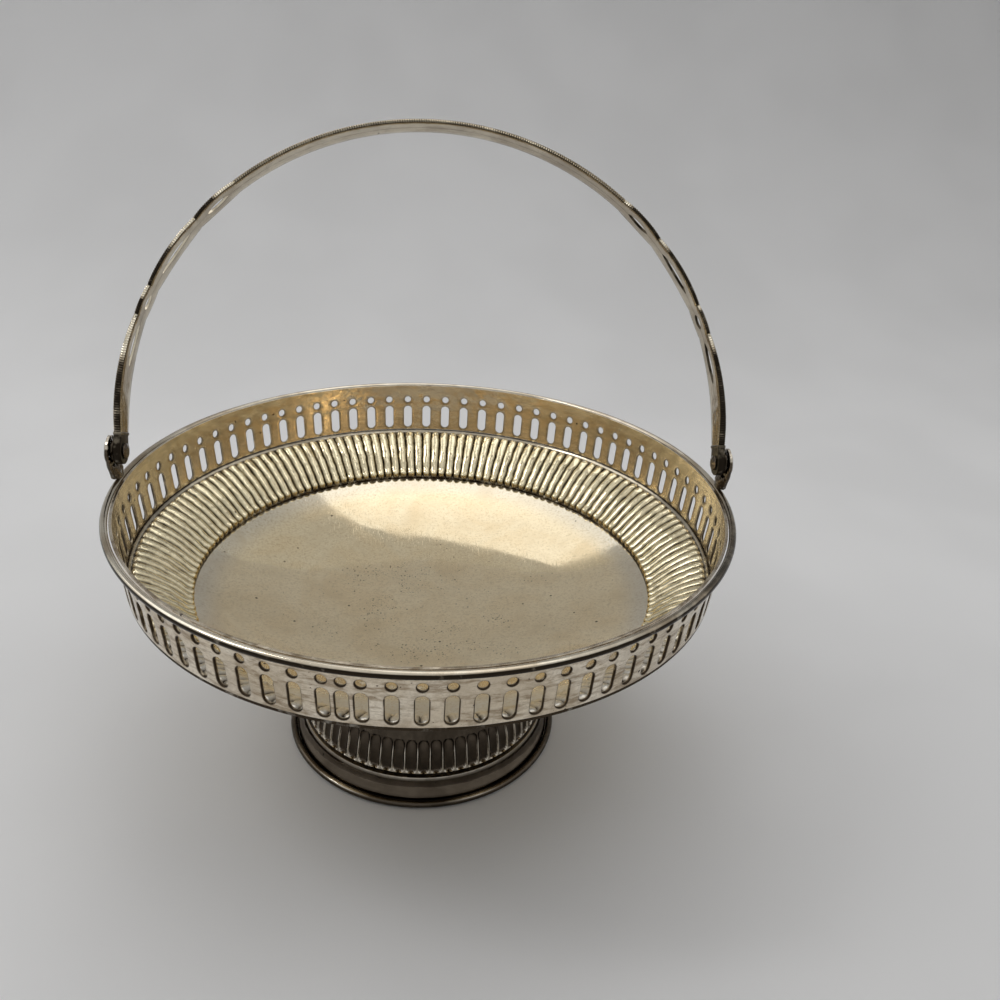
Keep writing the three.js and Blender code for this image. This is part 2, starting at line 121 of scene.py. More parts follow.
def endTree(tree, mesh, group, weld):
    welded = addNode(tree, "GeometryNodeMergeByDistance", {"Geometry": mesh, "Distance": weld})
    finished = addNode(tree, "GeometryNodeSetMaterial", {
        "Geometry": welded.outputs[0], "Material": group["Finish"],
    })
    addNode(tree, "NodeGroupOutput", {0: finished.outputs[0]})


# Runs a geometry tree on a source object and keeps the result as a plain mesh
def runTree(source, tree, sizes, finish, name):
    bpy.context.scene.collection.objects.link(source)
    modifier = source.modifiers.new(tree.name, "NODES")
    modifier.node_group = tree
    values = {**sizes, "Finish": finish}
    for item in tree.interface.items_tree:
        if item.in_out == "INPUT" and item.name in values:
            modifier[item.identifier] = values[item.name]
    depsgraph = bpy.context.evaluated_depsgraph_get()
    evaluated = source.evaluated_get(depsgraph)
    mesh = bpy.data.meshes.new_from_object(evaluated, preserve_all_data_layers=True, depsgraph=depsgraph)
    bpy.data.objects.remove(source)
    return finishMesh(mesh, name)


def finishMesh(mesh, name, sharpAngle=38):
    mesh.name = name
    mesh.shade_smooth()
    mesh.set_sharp_from_angle(angle=math.radians(sharpAngle))
    piece = bpy.data.objects.new(name, mesh)
    bpy.context.scene.collection.objects.link(piece)
    return piece


# Points in millimetres, faces, and per-point values such as tarnish, which on some pieces also carries
# painted shade and painted highlights
def plainMesh(name, points, faces, **values):
    mesh = bpy.data.meshes.new(name)
    mesh.from_pydata((np.array(points, float) * mm).tolist(), [], faces)
    for label, numbers in values.items():
        mesh.attributes.new(label, "FLOAT", "POINT").data.foreach_set("value", numbers)
    return mesh


# Says which body a finished piece rides on, gives it the finish if one is passed, and hides the CAD node it
# stands for
def keep(piece, body, node, finish=None):
    if finish:
        piece.data.materials.clear()
        piece.data.materials.append(finish)
    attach(piece, body)
    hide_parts(node)


# Rises from 0 to 1 between two values
def ramp(value, start, end):
    return min(max((value - start) / (end - start), 0), 1)


# Finishes
def newMaterial(name):
    material = bpy.data.materials.new(name)
    material.use_nodes = True
    tree = material.node_tree
    tree.nodes.clear()
    shader = addNode(tree, "ShaderNodeBsdfPrincipled")
    addNode(tree, "ShaderNodeOutputMaterial", {"Surface": shader.outputs[0]})
    return material, tree, shader


def noiseNode(tree, place, size, detail, roughness, twist=0.0):
    inputs = {
        "Vector": place, "Scale": 1 / (size * mm), "Detail": detail, "Roughness": roughness,
        "Distortion": twist,
    }
    return addNode(tree, "ShaderNodeTexNoise", inputs).outputs["Fac"]


def band(tree, value, low, high):
    inputs = {"Value": value, "From Min": low, "From Max": high}
    return addNode(tree, "ShaderNodeMapRange", inputs, interpolation_type="SMOOTHSTEP").outputs[0]


# Noise from its size, detail, roughness and twist, and the two levels between which it rises
def patternNode(tree, place, shape):
    *noise, low, high = shape
    return band(tree, noiseNode(tree, place, *noise), low, high)


def mixColors(tree, share, a, b):
    node = addNode(tree, "ShaderNodeMix", {"Factor": share}, data_type="RGBA")
    for socket, value in zip((node.inputs[6], node.inputs[7]), (a, b)):
        if isinstance(value, bpy.types.NodeSocket):
            tree.links.new(value, socket)
        else:
            socket.default_value = (*value, 1)
    return node.outputs[2]


# Worn silver plate: patches of two tones, dark where the tarnish value is high and rubbed
# bright where it is below zero, with small dark specks, pits, fine scratches and soft ripples.
# On the wires, the handle's sides, the ears, the foot and between the bowl's ribs that value also carries
# painted shade and painted highlights
silverLooks = {
    "well": {
        "light": (0.98, 0.84, 0.585), "warm": (0.94, 0.775, 0.51), "dark": (0.05, 0.036, 0.023),
        "rubbedAndPaintedHighlight": (0.93, 0.86, 0.68), "stain": (0.60, 0.45, 0.26), "ribs": (1.0, 0.905, 0.63),
        "edge": (0.80, 0.735, 0.60),
        "edgeRing": (83.7, 96.1),  # between these radii it turns greyer
        # Painted light: close under the front wall the well takes a paler, greyer colour that stands in for
        # how it is lit there
        "front": (0.74, 0.72, 0.66),
        "frontBand": (-62, -80.6),  # and along Y, close under the front wall, dull
        "speckRing": (18.6, 80.6),  # specks thin out between these radii
        "blots": 0.3, "streaks": 0.0, "grain": 0.38, "specks": 1.0, "gloss": 0.04, "dull": 0.2,
        "ripple": 0.08, "rippleSize": 24, "scratch": 0.06,
    },
    "gallery": {
        "light": (0.90, 0.825, 0.695), "warm": (0.76, 0.665, 0.52), "dark": (0.05, 0.036, 0.024),
        "rubbedAndPaintedHighlight": (0.93, 0.87, 0.74), "stain": (0.29, 0.215, 0.135), "inner": (0.92, 0.775, 0.54),
        "blots": 0.5, "streaks": 0.85, "grain": 0.35, "specks": 0.5, "gloss": 0.12, "dull": 0.32,
        "ripple": 0.4, "rippleSize": 7, "scratch": 0.14,
    },
    "rim": {
        "light": (0.80, 0.74, 0.62), "warm": (0.55, 0.46, 0.34), "dark": (0.028, 0.021, 0.014),
        "rubbedAndPaintedHighlight": (0.93, 0.88, 0.76), "stain": (0.30, 0.24, 0.17),
        "blots": 0.3, "streaks": 0.2, "grain": 0.1, "specks": 0.3, "gloss": 0.09, "dull": 0.22,
        "ripple": 0.1, "rippleSize": 12, "scratch": 0.1,
    },
    # Painted shade: the foot's colours are kept dark to stand in for the bowl's shadow over it and the dark
    # it reflects; its bright colour carries painted highlights
    "foot": {
        "light": (0.145, 0.118, 0.09), "warm": (0.095, 0.075, 0.055), "dark": (0.014, 0.011, 0.008),
        "rubbedAndPaintedHighlight": (0.80, 0.74, 0.64), "stain": (0.05, 0.038, 0.027), "ribs": (0.10, 0.08, 0.06),
        "blots": 0.5, "streaks": 0.3, "grain": 0.2, "specks": 0.4, "gloss": 0.04, "dull": 0.17,
        "ripple": 0.3, "rippleSize": 7, "scratch": 0.1,
    },
    "handle": {
        "light": (0.58, 0.51, 0.39), "warm": (0.40, 0.335, 0.24), "dark": (0.022, 0.017, 0.012),
        "rubbedAndPaintedHighlight": (0.88, 0.81, 0.66), "stain": (0.16, 0.125, 0.085),
        "blots": 0.5, "streaks": 0.3, "grain": 0.2, "specks": 0.4, "gloss": 0.12, "dull": 0.3,
        "ripple": 0.2, "rippleSize": 5, "scratch": 0.12,
    },
    "hinge": {
        "light": (0.17, 0.137, 0.10), "warm": (0.085, 0.067, 0.049), "dark": (0.014, 0.011, 0.008),
        "rubbedAndPaintedHighlight": (0.8, 0.73, 0.62), "stain": (0.045, 0.035, 0.026),
        "blots": 0.6, "streaks": 0.3, "grain": 0.2, "specks": 0.5, "gloss": 0.05, "dull": 0.2,
        "ripple": 0.9, "rippleSize": 2.0, "scratch": 0.2,
    },
}
# Noise of all the silver: size, detail, roughness, twist, and where it starts and ends to rise
silverNoise = {
    "patches": (34, 5.0, 0.6, 1.0, 0.38, 0.64),
    "blotch": (11, 5.0, 0.65, 0.0, 0.3, 0.7),
    "blots": (16, 6.0, 0.7, 0.4, 0.42, 0.70),
    "streaks": (9, 6.0, 0.72, 0.0, 0.40, 0.66),
    "grain": (1.1, 3.0, 0.7, 0.0, 0.4, 0.7),
    "wear": (5, 4.0, 0.6, 0.0, 0.25, 0.6),
    "mottle": (2.2, 4.0, 0.75, 0.0, 0.48, 0.72),
    "clumps": (15, 4.0, 0.65, 0.0, 0.38, 0.68),
    "scratch": (0.45, 2.0, 0.5, 0.0, 0.62, 0.8),
}
silverShares = {
    "ribs": 0.9,  # of the ribs' own colour
    "inner": 0.6,  # least share of the inner colour
    "innerStain": 0.5,  # taken off the brown stains inside
    "wear": 0.5,  # least share of rubbing and tarnish
    "haze": 0.1,  # of the dark mottle
    "ribHaze": 0.3,  # more of it on ribs
    "flatten": (1, 1, 4.5),  # makes streaks level
    "specks": ((1.7, 0.75), (0.8, 0.6)),  # size of a cell, and how dark
    "speckGrowth": 0.6,
    "speckMost": 0.26,  # radius in cells
    "speckSoft": 0.08,
    "farSpecks": 0.25,  # where they have thinned out
    "pits": (10, 0.055, 0.9),  # size of a cell, radius in cells, and how dark
    "scratchTurns": (0.4, 1.5, 2.6),
    "scratchStretch": (1.0, 0.03, 0.4),
    "scratchHeight": 0.1,
    "rippleHeight": 1.0,
    "rippleNoise": (2.0, 0.4),
    "dullPatches": 0.35,  # how much each of these dulls the gloss
    "dullDirt": 1.3,
    "dullScratch": 0.35,
    "dullFront": 0.3,
}


# Small dark dots, one at most in each cell, more of them where the crowd value is high
def speckNode(tree, place, size, crowd):
    cells = addNode(tree, "ShaderNodeTexVoronoi", {"Vector": place, "Scale": 1 / (size * mm)})
    picked = addNode(tree, "ShaderNodeSeparateColor", {"Color": cells.outputs["Color"]}).outputs[0]
    reach = calc(tree, "*", calc(tree, "-", crowd, picked), silverShares["speckGrowth"])
    reach = calc(tree, "min", reach, silverShares["speckMost"])
    return band(tree, calc(tree, "-", reach, cells.outputs["Distance"]), 0.0, silverShares["speckSoft"])


# Rises from 0 to 1 between two distances from the basket's axis
def outward(tree, place, start, end):
    level = calcVector(tree, "MULTIPLY", place, (1, 1, 0))
    away = addNode(tree, "ShaderNodeVectorMath", {0: level}, operation="LENGTH").outputs["Value"]
    return band(tree, away, start * mm, end * mm)


# How thick the specks lie: in clumps and, in the well, round its bottom
def crowdNode(tree, look, place):
    crowd = patternNode(tree, place, silverNoise["clumps"])
    if "speckRing" in look:
        near = calc(tree, "-", 1.0, outward(tree, place, *look["speckRing"]))
        crowd = calc(tree, "*", crowd, calc(tree, "+", silverShares["farSpecks"], near))
    return calc(tree, "*", crowd, look["specks"])


# Rises to 1 close under the front wall, where the well is dull and its colour is painted paler and greyer,
# painted light
def paintedFrontNode(tree, look, place):
    forward = addNode(tree, "ShaderNodeSeparateXYZ", {0: place}).outputs["Y"]
    start, end = look["frontBand"]
    return band(tree, forward, start * mm, end * mm)


# Moves a value of 0 to 1 into the range from the given share to 1
def lifted(tree, value, least):
    return calc(tree, "+", least, calc(tree, "*", value, 1 - least))


def silverColor(tree, look, place):
    tarnish, inside, uneven = [
        addNode(tree, "ShaderNodeAttribute", attribute_name=label).outputs["Fac"]
        for label in ("tarnish", "inside", "uneven")
    ]
    shares = silverShares

    def pattern(name, where=place):
        return patternNode(tree, where, silverNoise[name])

    patches = pattern("patches")
    color = mixColors(tree, patches, look["light"], look["warm"])
    if "edge" in look:
        color = mixColors(tree, outward(tree, place, *look["edgeRing"]), color, look["edge"])
    if "ribs" in look:
        color = mixColors(tree, calc(tree, "*", uneven, shares["ribs"]), color, look["ribs"])
    # Painted light: a paler, greyer colour at the front
    if "front" in look:
        color = mixColors(tree, paintedFrontNode(tree, look, place), color, look["front"])
    # Brown stains: soft blots, level streaks and a fine grain
    brown = calc(tree, "*", pattern("blots"), look["blots"])
    flat = calcVector(tree, "MULTIPLY", place, shares["flatten"])
    brown = calc(tree, "max", brown, calc(tree, "*", pattern("streaks", flat), look["streaks"]))
    brown = calc(tree, "max", brown, calc(tree, "*", pattern("grain"), look["grain"]))
    if "inner" in look:
        inner = calc(tree, "*", inside, lifted(tree, pattern("blotch"), shares["inner"]))
        color = mixColors(tree, inner, color, look["inner"])
        clean = calc(tree, "*", inside, shares["innerStain"])
        brown = calc(tree, "*", brown, calc(tree, "-", 1.0, clean))
    color = mixColors(tree, brown, color, look["stain"])
    wear = lifted(tree, pattern("wear"), shares["wear"])
    # Below zero the value gives rubbed wear and painted highlights, above zero tarnish and painted shade
    bright = calc(tree, "max", calc(tree, "*", tarnish, -1.0), 0.0)
    color = mixColors(tree, calc(tree, "*", bright, wear), color, look["rubbedAndPaintedHighlight"])
    tarnishAndPaintedShade = calc(tree, "*", calc(tree, "max", tarnish, 0.0), wear)
    haze = calc(tree, "+", shares["haze"], calc(tree, "*", uneven, shares["ribHaze"]))
    dirtAndPaintedShade = calc(tree, "max", tarnishAndPaintedShade, calc(tree, "*", pattern("mottle"), haze))
    crowd = crowdNode(tree, look, place)
    for size, depth in shares["specks"]:
        dirtAndPaintedShade = calc(tree, "max", dirtAndPaintedShade, calc(tree, "*", speckNode(tree, place, size, crowd), depth))
    size, radius, depth = shares["pits"]
    pits = addNode(tree, "ShaderNodeTexVoronoi", {"Vector": place, "Scale": 1 / (size * mm)})
    pit = calc(tree, "LESS_THAN", pits.outputs["Distance"], radius)
    dirtAndPaintedShade = calc(tree, "max", dirtAndPaintedShade, calc(tree, "*", pit, depth))
    return mixColors(tree, dirtAndPaintedShade, color, look["dark"]), patches, dirtAndPaintedShade


# Fine scratches: noise stretched along three directions
def scratchNode(tree, place):
    *noise, low, high = silverNoise["scratch"]
    deepest = 0.0
    for turn in silverShares["scratchTurns"]:
        mapping = addNode(tree, "ShaderNodeMapping", {
            "Vector": place, "Rotation": (0, 0, turn), "Scale": silverShares["scratchStretch"],
        })
        deepest = calc(tree, "max", deepest, noiseNode(tree, mapping.outputs[0], *noise))
    return band(tree, deepest, low, high)


def silverMaterial(name):
    look, shares = silverLooks[name], silverShares
    material, tree, shader = newMaterial("silver " + name)
    place = addNode(tree, "ShaderNodeTexCoord").outputs["Object"]
    color, patches, dirtAndPaintedShade = silverColor(tree, look, place)
    tree.links.new(color, shader.inputs["Base Color"])
    scratch = scratchNode(tree, place)
    shine = calc(tree, "+", calc(tree, "*", patches, shares["dullPatches"]),
                 calc(tree, "*", dirtAndPaintedShade, shares["dullDirt"]))
    rough = addNode(tree, "ShaderNodeMapRange", {
        "Value": calc(tree, "+", shine, calc(tree, "*", scratch, shares["dullScratch"])),
        "To Min": look["gloss"], "To Max": look["dull"],
    }).outputs[0]
    if "front" in look:
        dull = calc(tree, "*", paintedFrontNode(tree, look, place), shares["dullFront"])
        rough = calc(tree, "+", rough, dull)
    tree.links.new(rough, shader.inputs["Roughness"])
    ripple = addNode(tree, "ShaderNodeBump", {
        "Strength": look["ripple"], "Distance": shares["rippleHeight"] * mm,
        "Height": noiseNode(tree, place, look["rippleSize"], *shares["rippleNoise"]),
    })
    bump = addNode(tree, "ShaderNodeBump", {
        "Strength": look["scratch"], "Distance": shares["scratchHeight"] * mm, "Height": scratch,
        "Normal": ripple.outputs[0],
    })
    tree.links.new(bump.outputs[0], shader.inputs["Normal"])
    shader.inputs["Metallic"].default_value = 1
    return material


silver = {name: silverMaterial(name) for name in silverLooks}
print("finishes made")


# Ring of equal sectors about the Z axis. Points with an uneven value are shifted a little,
# each in its own way, as in sheet that was worked by hand.
def sectorTree():
    tree, group = newTree("sectorRing", {"count": 1, "shift": 1.0, "shiftSize": 1.0})
    points = addNode(tree, "GeometryNodePoints", {"Count": group["count"]})
    index = addNode(tree, "GeometryNodeInputIndex").outputs[0]
    turn = calc(tree, "*", index, calc(tree, "/", tau, group["count"]))
    euler = addNode(tree, "ShaderNodeCombineXYZ", {"Z": turn})
    copies = addNode(tree, "GeometryNodeInstanceOnPoints", {
        "Points": points.outputs[0], "Instance": group["Mesh"],
        "Rotation": addNode(tree, "FunctionNodeEulerToRotation", {0: euler.outputs[0]}).outputs[0],
    })
    solid = addNode(tree, "GeometryNodeRealizeInstances", {0: copies.outputs[0]})
    noise = addNode(tree, "ShaderNodeTexNoise", {
        "Vector": addNode(tree, "GeometryNodeInputPosition").outputs[0],
        "Scale": calc(tree, "/", 1.0, group["shiftSize"]), "Detail": 1.0,
    })
    centred = calcVector(tree, "SUBTRACT", noise.outputs["Color"], (0.5, 0.5, 0.5))
    uneven, = pointValues(tree, "uneven")
    offset = calcVector(tree, "SCALE", centred, calc(tree, "*", uneven, group["shift"]))
    moved = addNode(tree, "GeometryNodeSetPosition", {"Geometry": solid.outputs[0], "Offset": offset})
    endTree(tree, moved.outputs[0], group, 0.002 * mm)
    return tree


sectorRing = sectorTree()


# Repeats one sector, given as rows of points, round the basket's axis
def makeRing(name, rows, sizes, finish):
    sector = sectorMesh("sector", rows, sizes["flutes"])
    inputs = {"count": sizes["flutes"], "shift": sizes["shift"] * mm, "shiftSize": sizes["shiftSize"] * mm}
    return runTree(sector, sectorRing, inputs, finish, name)


# Joins two rows of points that run side by side, with quads where they match
def stitch(faces, a, b):
    if len(a) == len(b):
        faces += [(a[i], b[i], b[i + 1], a[i + 1]) for i in range(len(a) - 1)]
        return
    i = j = 0
    while i < len(a) - 1 or j < len(b) - 1:
        nextA = (i + 1) / (len(a) - 1) if i < len(a) - 1 else 2
        nextB = (j + 1) / (len(b) - 1) if j < len(b) - 1 else 2
        if nextA < nextB:
            faces.append((a[i], b[j], a[i + 1]))
            i += 1
        else:
            faces.append((a[i], b[j], b[j + 1]))
            j += 1


# One sector from rows of (share of the sector, radius, height, tarnish with painted shade and highlights,
# uneven)
def sectorMesh(name, rows, count):
    points, tarnish, uneven, faces, before = [], [], [], [], None
    for row in rows:
        start = len(points)
        for share, radius, height, stain, shift in row:
            angle = share * math.pi / count
            points.append((radius * math.cos(angle), radius * math.sin(angle), height))
            tarnish.append(stain)
            uneven.append(shift)
        current = list(range(start, len(points)))
        if before:
            stitch(faces, before, current)
        before = current
    return bpy.data.objects.new(name, plainMesh(name, points, faces, tarnish=tarnish, uneven=uneven))


def smoothRow(radius, height, stain=0.0, columns=2):
    if radius == 0:
        return [(0, 0, height, stain, 0.0)]
    return [(2 * i / columns - 1, radius, height, stain, 0.0) for i in range(columns + 1)]


def smoothRows(profile):
    return [smoothRow(*row) for row in profile]


# A row across one flute. Its width is a share of the sector, so it narrows at a rounded end.
# The section gives the rise and the tarnish value, with its painted shade and highlights, at a place across
# the flute, from 0 in its middle to 1 at its edge and more beside it.
def fluteRow(point, normal, width, marks, section):
    row = []
    for share in marks:
        rise, stain = section(abs(share) / max(width, 0.01))
        row.append((share, *shifted(point, normal, rise), stain, min(width, 1.0)))
    return row


# A point moved along its normal
def shifted(point, normal, distance):
    return tuple(p + n * distance for p, n in zip(point, normal))


# Height of a half circle above its middle, at 0, and its end, at 1
def arc(across):
    return math.sqrt(max(1 - across ** 2, 0))


# Normal of a curve, to the right of its direction on side 1 and to the left on side -1
def curveNormal(curve, share, side, nudge=0.01):
    a, b = curve(share - nudge), curve(share + nudge)
    length = math.hypot(b[0] - a[0], b[1] - a[1]) * side
    return ((b[1] - a[1]) / length, (a[0] - b[0]) / length)


# Width of a flute along its length, with a round end over its first and its last share
def roundEnds(share, first, last):
    if share < first:
        return arc(1 - share / first)
    if share > 1 - last:
        return arc((share - 1 + last) / last)
    return 1.0


# Bowl: smooth well, band of raised ribs and the ledge that carries the gallery
bowlSizes = {
    "flutes": 152,
    "relief": 1.6,
    "underRelief": 1.44,  # of the ribs as they show below
    "fullWidth": 1.1,  # a rib is as high as it gets where its width times this is 1
    "bandOuter": (118.8, 95.1),
    "bandInner": (97.5, 77.7),
    "bandBulge": 2.3,
    "tip": 0.09,  # share of the band taken by the round outer end
    "nose": 0.075,  # and by the blunt inner end
    "swell": (0.4, 0.93, 0.04),  # of the inner end: how much, where and how wide
    # The dark between two ribs is tarnish in the hollows and painted shade
    "valley": (0.54, 0.92, 1.2),  # where the dark between two ribs starts and ends, and its power
    "grime": (1.2, 0.96, 0.04, 0.1, 0.2),  # inner end: amount, start, length; outer end: amount, length
    "wellEdge": (97.3, 76.9),
    "wellHeight": 60.9,
    "wellPower": 2.7,
    "wellRings": 44,
    "underRings": 15,
    "shift": 1.1,  # how far the ribs stray, and over what length
    "shiftSize": 3.2,
    "underStain": (0.3, 0.2),  # tarnish value under the ribs and under the well
    # Radius, height, tarnish value and columns of turned parts
    "seam": (97.45, 76.95, 0.9),
    "ledge": (
        (119.3, 95.4, 0.3, 4), (119.6, 96.0, 0.5), (119.8, 96.2, 1.2), (120.95, 96.2, 1.2),
        (121.1, 96.05, 1.3), (121.1, 95.25, 1.3), (120.95, 95.1, 0.8), (119.2, 95.1), (118.4, 93.9),
    ),
}
# Rows along the band, from its inner to its outer end, and back under it
bandShares = (
    1, 0.995, 0.985, 0.97, 0.955, 0.94, 0.925, 0.9, 0.87, 0.83, 0.76, 0.68, 0.6, 0.52, 0.44, 0.36,
    0.28, 0.2, 0.14, 0.1, 0.08, 0.06, 0.042, 0.028, 0.016, 0.006, 0,
)
underShares = (0.02, 0.06, 0.11, 0.2, 0.35, 0.5, 0.65, 0.8, 0.9, 0.95, 0.985)
# Points across a rib, and under it
topMarks = (-1, -0.9, -0.72, -0.4, 0, 0.4, 0.72, 0.9, 1)
underMarks = (-1, -0.5, 0, 0.5, 1)


def bowlBand(share):
    outer, inner = bowlSizes["bandOuter"], bowlSizes["bandInner"]
    bulge = 4 * bowlSizes["bandBulge"] * share * (1 - share)
    return (outer[0] + (inner[0] - outer[0]) * share, outer[1] + (inner[1] - outer[1]) * share + bulge)


def wellPoint(share):
    radius, top = bowlSizes["wellEdge"]
    rise = (top - bowlSizes["wellHeight"]) * share ** bowlSizes["wellPower"]
    return radius * share, bowlSizes["wellHeight"] + rise


# A raised rib with dark valleys beside it, tarnish in the hollows and painted shade
def ribSection(lift, stain):
    start, end, power = bowlSizes["valley"]
    return lambda across: (lift * arc(across), max(ramp(across, start, end) ** power, stain))


def makeBowl():
    sizes = bowlSizes
    tip, nose, rings, underRings = (sizes[key] for key in ("tip", "nose", "wellRings", "underRings"))
    swell, place, reach = sizes["swell"]
    inner, innerStart, innerLength, outer, outerLength = sizes["grime"]
    underRib, underWell = sizes["underStain"]
    rows = [smoothRow(*wellPoint(i / rings), columns=1) for i in range(rings + 1)]
    rows.append(smoothRow(*sizes["seam"]))
    for share in bandShares:
        width = roundEnds(share, tip, nose)
        lift = sizes["relief"] * (1 + swell * math.exp(-((share - place) / reach) ** 2))
        lift *= min(width * sizes["fullWidth"], 1)
        grime = max(inner * (share - innerStart) / innerLength, outer * (1 - share / outerLength), 0)
        normal = curveNormal(bowlBand, share, 1)
        rows.append(fluteRow(bowlBand(share), normal, width, topMarks, ribSection(lift, grime)))
    rows += smoothRows(sizes["ledge"])
    for share in underShares:
        normal = curveNormal(bowlBand, share, 1)
        section = ribSection(sizes["underRelief"] * roundEnds(share, tip, nose), underRib)
        rows.append(fluteRow(shifted(bowlBand(share), normal, -sheet), normal, 1, underMarks, section))
    for i in range(underRings, -1, -1):
        radius, height = wellPoint(i / underRings)
        rows.append(smoothRow(radius, height - sheet, underWell, 1))
    return makeRing("fluted_bowl", rows, sizes, silver["well"])


keep(makeBowl(), "basket", "bowl")
print("bowl made")


# Gallery: a row of punched cells, each a slot with a round hole above it
gallerySizes = {
    "slots": 80,
    "closePitch": 3.0,  # degrees between the slots where the row comes round to its start
    "closeMiddle": -103,  # direction of the middle one
    "closeSlots": 3,
    "drift": ((1, 3, -67), (2, 0.75, -107), (4, 0.55, 110)),  # waves round the row, amount, phase
    "slotWidth": 4.3,
    "slotLength": 11.9,
    "slotMiddle": 7.2,  # above the wall's bottom edge
    "holeWidth": 3.4,
    "holeMiddle": 16.75,
    "height": 24.4,
    "bottomHeight": 96.5,
    "bottomRadius": 121.3,
    "flare": 2.1,
    "lip": 0.55,  # width of the worked metal round an opening
    "edge": 0.15,  # chamfer at the wall's top and bottom
    "stain": 0.15,  # tarnish value of the inside and of the two edges
    "innerDepth": 0.2,  # deeper than this an opening has the inside's colour
    "slotSteps": 9,  # round each end of an opening
    "holeSteps": 8,
    "columns": 8,  # of the grid between the openings
    "rows": 20,
    "gridSpace": 0.4,  # from the grid to an opening's lip
    "lipSlack": 0.05,  # faces whose middle is this far inside a lip still count as wall
    "cellHalf": 4.9,  # half the width of a cell
    "fixedHalf": 2.9,  # and of the part of it that keeps its width
    "dent": 0.22,  # depth and size of the dents
    "dentSize": 24.0,
}


def slotPlaces():
    sizes = gallerySizes
    gaps = sizes["closeSlots"] - 1
    pitch = (360 - gaps * sizes["closePitch"]) / (sizes["slots"] - gaps)
    angle = sizes["closeMiddle"] - gaps / 2 * sizes["closePitch"]
    angles = []
    for i in range(sizes["slots"]):
        turn = 360 * i / sizes["slots"]
        drift = sum(a * math.cos(math.radians(waves * turn - phase)) for waves, a, phase in sizes["drift"])
        angles.append(math.radians(angle + drift))
        angle += sizes["closePitch"] if i < gaps else pitch
    return angles


def slotLoop(width, length, middle, offset, steps):
    radius, straight = width / 2 + offset, (length - width) / 2
    loop = []
    for end in (1, -1):
        for i in range(steps + 1):
            a = math.pi * i / steps
            loop.append((end * radius * math.cos(a), middle + end * (straight + radius * math.sin(a))))
        if straight > 1:
            side = -end * radius
            loop += [(side, middle + end * straight * k) for k in (0.6, 0.2, -0.2, -0.6)]
    return loop


# The punch rolled the outside edge in and left a burr inside: (offset, depth, tarnish).
# The dark values on the rolled edge and the opening's wall are partly tarnish, partly painted shade
def punchSteps():
    lip = gallerySizes["lip"]
    return [
        (lip, 0, 0.1), (0.34, 0.07, 0.6), (0.14, 0.26, 1.6), (0, 0.5, 1.2),
        (0, sheet - 0.1, 0.8), (0.06, sheet + 0.1, 0.3), (0.24, sheet + 0.12, 0.9), (lip, sheet, 0.5),
    ]


def galleryCell():
    sizes = gallerySizes
    half, height, edge, lip, stain = (sizes[key] for key in ("cellHalf", "height", "edge", "lip", "stain"))
    openings = [
        [sizes[key] for key in ("slotWidth", "slotLength", "slotMiddle", "slotSteps")],
        [sizes[key] for key in ("holeWidth", "holeWidth", "holeMiddle", "holeSteps")],
    ]
    points, faces, tarnish, inside = [], [], [], []

    def addPoints(flat, depth, dark, inner):
        start = len(points)
        points.extend((x, depth, z) for x, z in flat)
        tarnish.extend([dark] * len(flat))
        inside.extend([inner] * len(flat))
        return list(range(start, len(points)))

    for width, length, middle, steps in openings:
        before = None
        for offset, depth, dark in punchSteps():
            loop = slotLoop(width, length, middle, offset, steps)
            current = addPoints(loop, depth, dark, float(depth > sizes["innerDepth"]))
            current.append(current[0])
            if before:
                faces.extend((before[i], before[i + 1], current[i + 1], current[i]) for i in range(len(loop)))
            before = current
    columns, levels = sizes["columns"], sizes["rows"]
    across = [half * (2 * i / columns - 1) for i in range(columns + 1)]
    up = [edge + (height - 2 * edge) * i / levels for i in range(levels + 1)]
    border = [(x, up[0]) for x in across] + [(half, z) for z in up[1:]]
    border += [(x, up[-1]) for x in across[-2::-1]] + [(-half, z) for z in up[-2:0:-1]]
    loops = [border] + [slotLoop(w, l, m, lip, s) for w, l, m, s in openings]

    def clear(x, z, margin):
        for width, length, middle, _ in openings:
            straight = (length - width) / 2
            away = math.hypot(x, max(abs(z - middle) - straight, 0))
            if away < width / 2 + lip + margin:
                return False
        return True

    flat, edges = [], []
    for loop in loops:
        start = len(flat)
        flat += loop
        edges += [(start + i, start + (i + 1) % len(loop)) for i in range(len(loop))]
    flat += [(x, z) for x in across[1:-1] for z in up[1:-1] if clear(x, z, sizes["gridSpace"])]
    found = delaunay_2d_cdt([Vector(p) for p in flat], edges, [], 1, 1e-5)
    corners = [tuple(p) for p in found[0]]
    outer = addPoints(corners, 0, 0, 0.0)
    inner = addPoints(corners, sheet, stain, 1.0)
    for face in found[2]:
        middle = np.mean([corners[i] for i in face], axis=0)
        if clear(*middle, -sizes["lipSlack"]):
            faces.append([outer[i] for i in face])
            faces.append([inner[i] for i in reversed(face)])
    for rim in (
        [(0, up[-1]), (edge, height), (sheet - edge, height), (sheet, up[-1])],
        [(sheet, up[0]), (sheet - edge, 0), (edge, 0), (0, up[0])],
    ):
        rows = [addPoints([(x, z) for x in across], depth, stain, float(depth == sheet)) for depth, z in rim]
        for a, b in zip(rows, rows[1:]):
            faces.extend((a[i], a[i + 1], b[i + 1], b[i]) for i in range(len(across) - 1))
    mesh = plainMesh("cell", points, faces, tarnish=tarnish, inside=inside)
    return bpy.data.objects.new("cell", mesh)


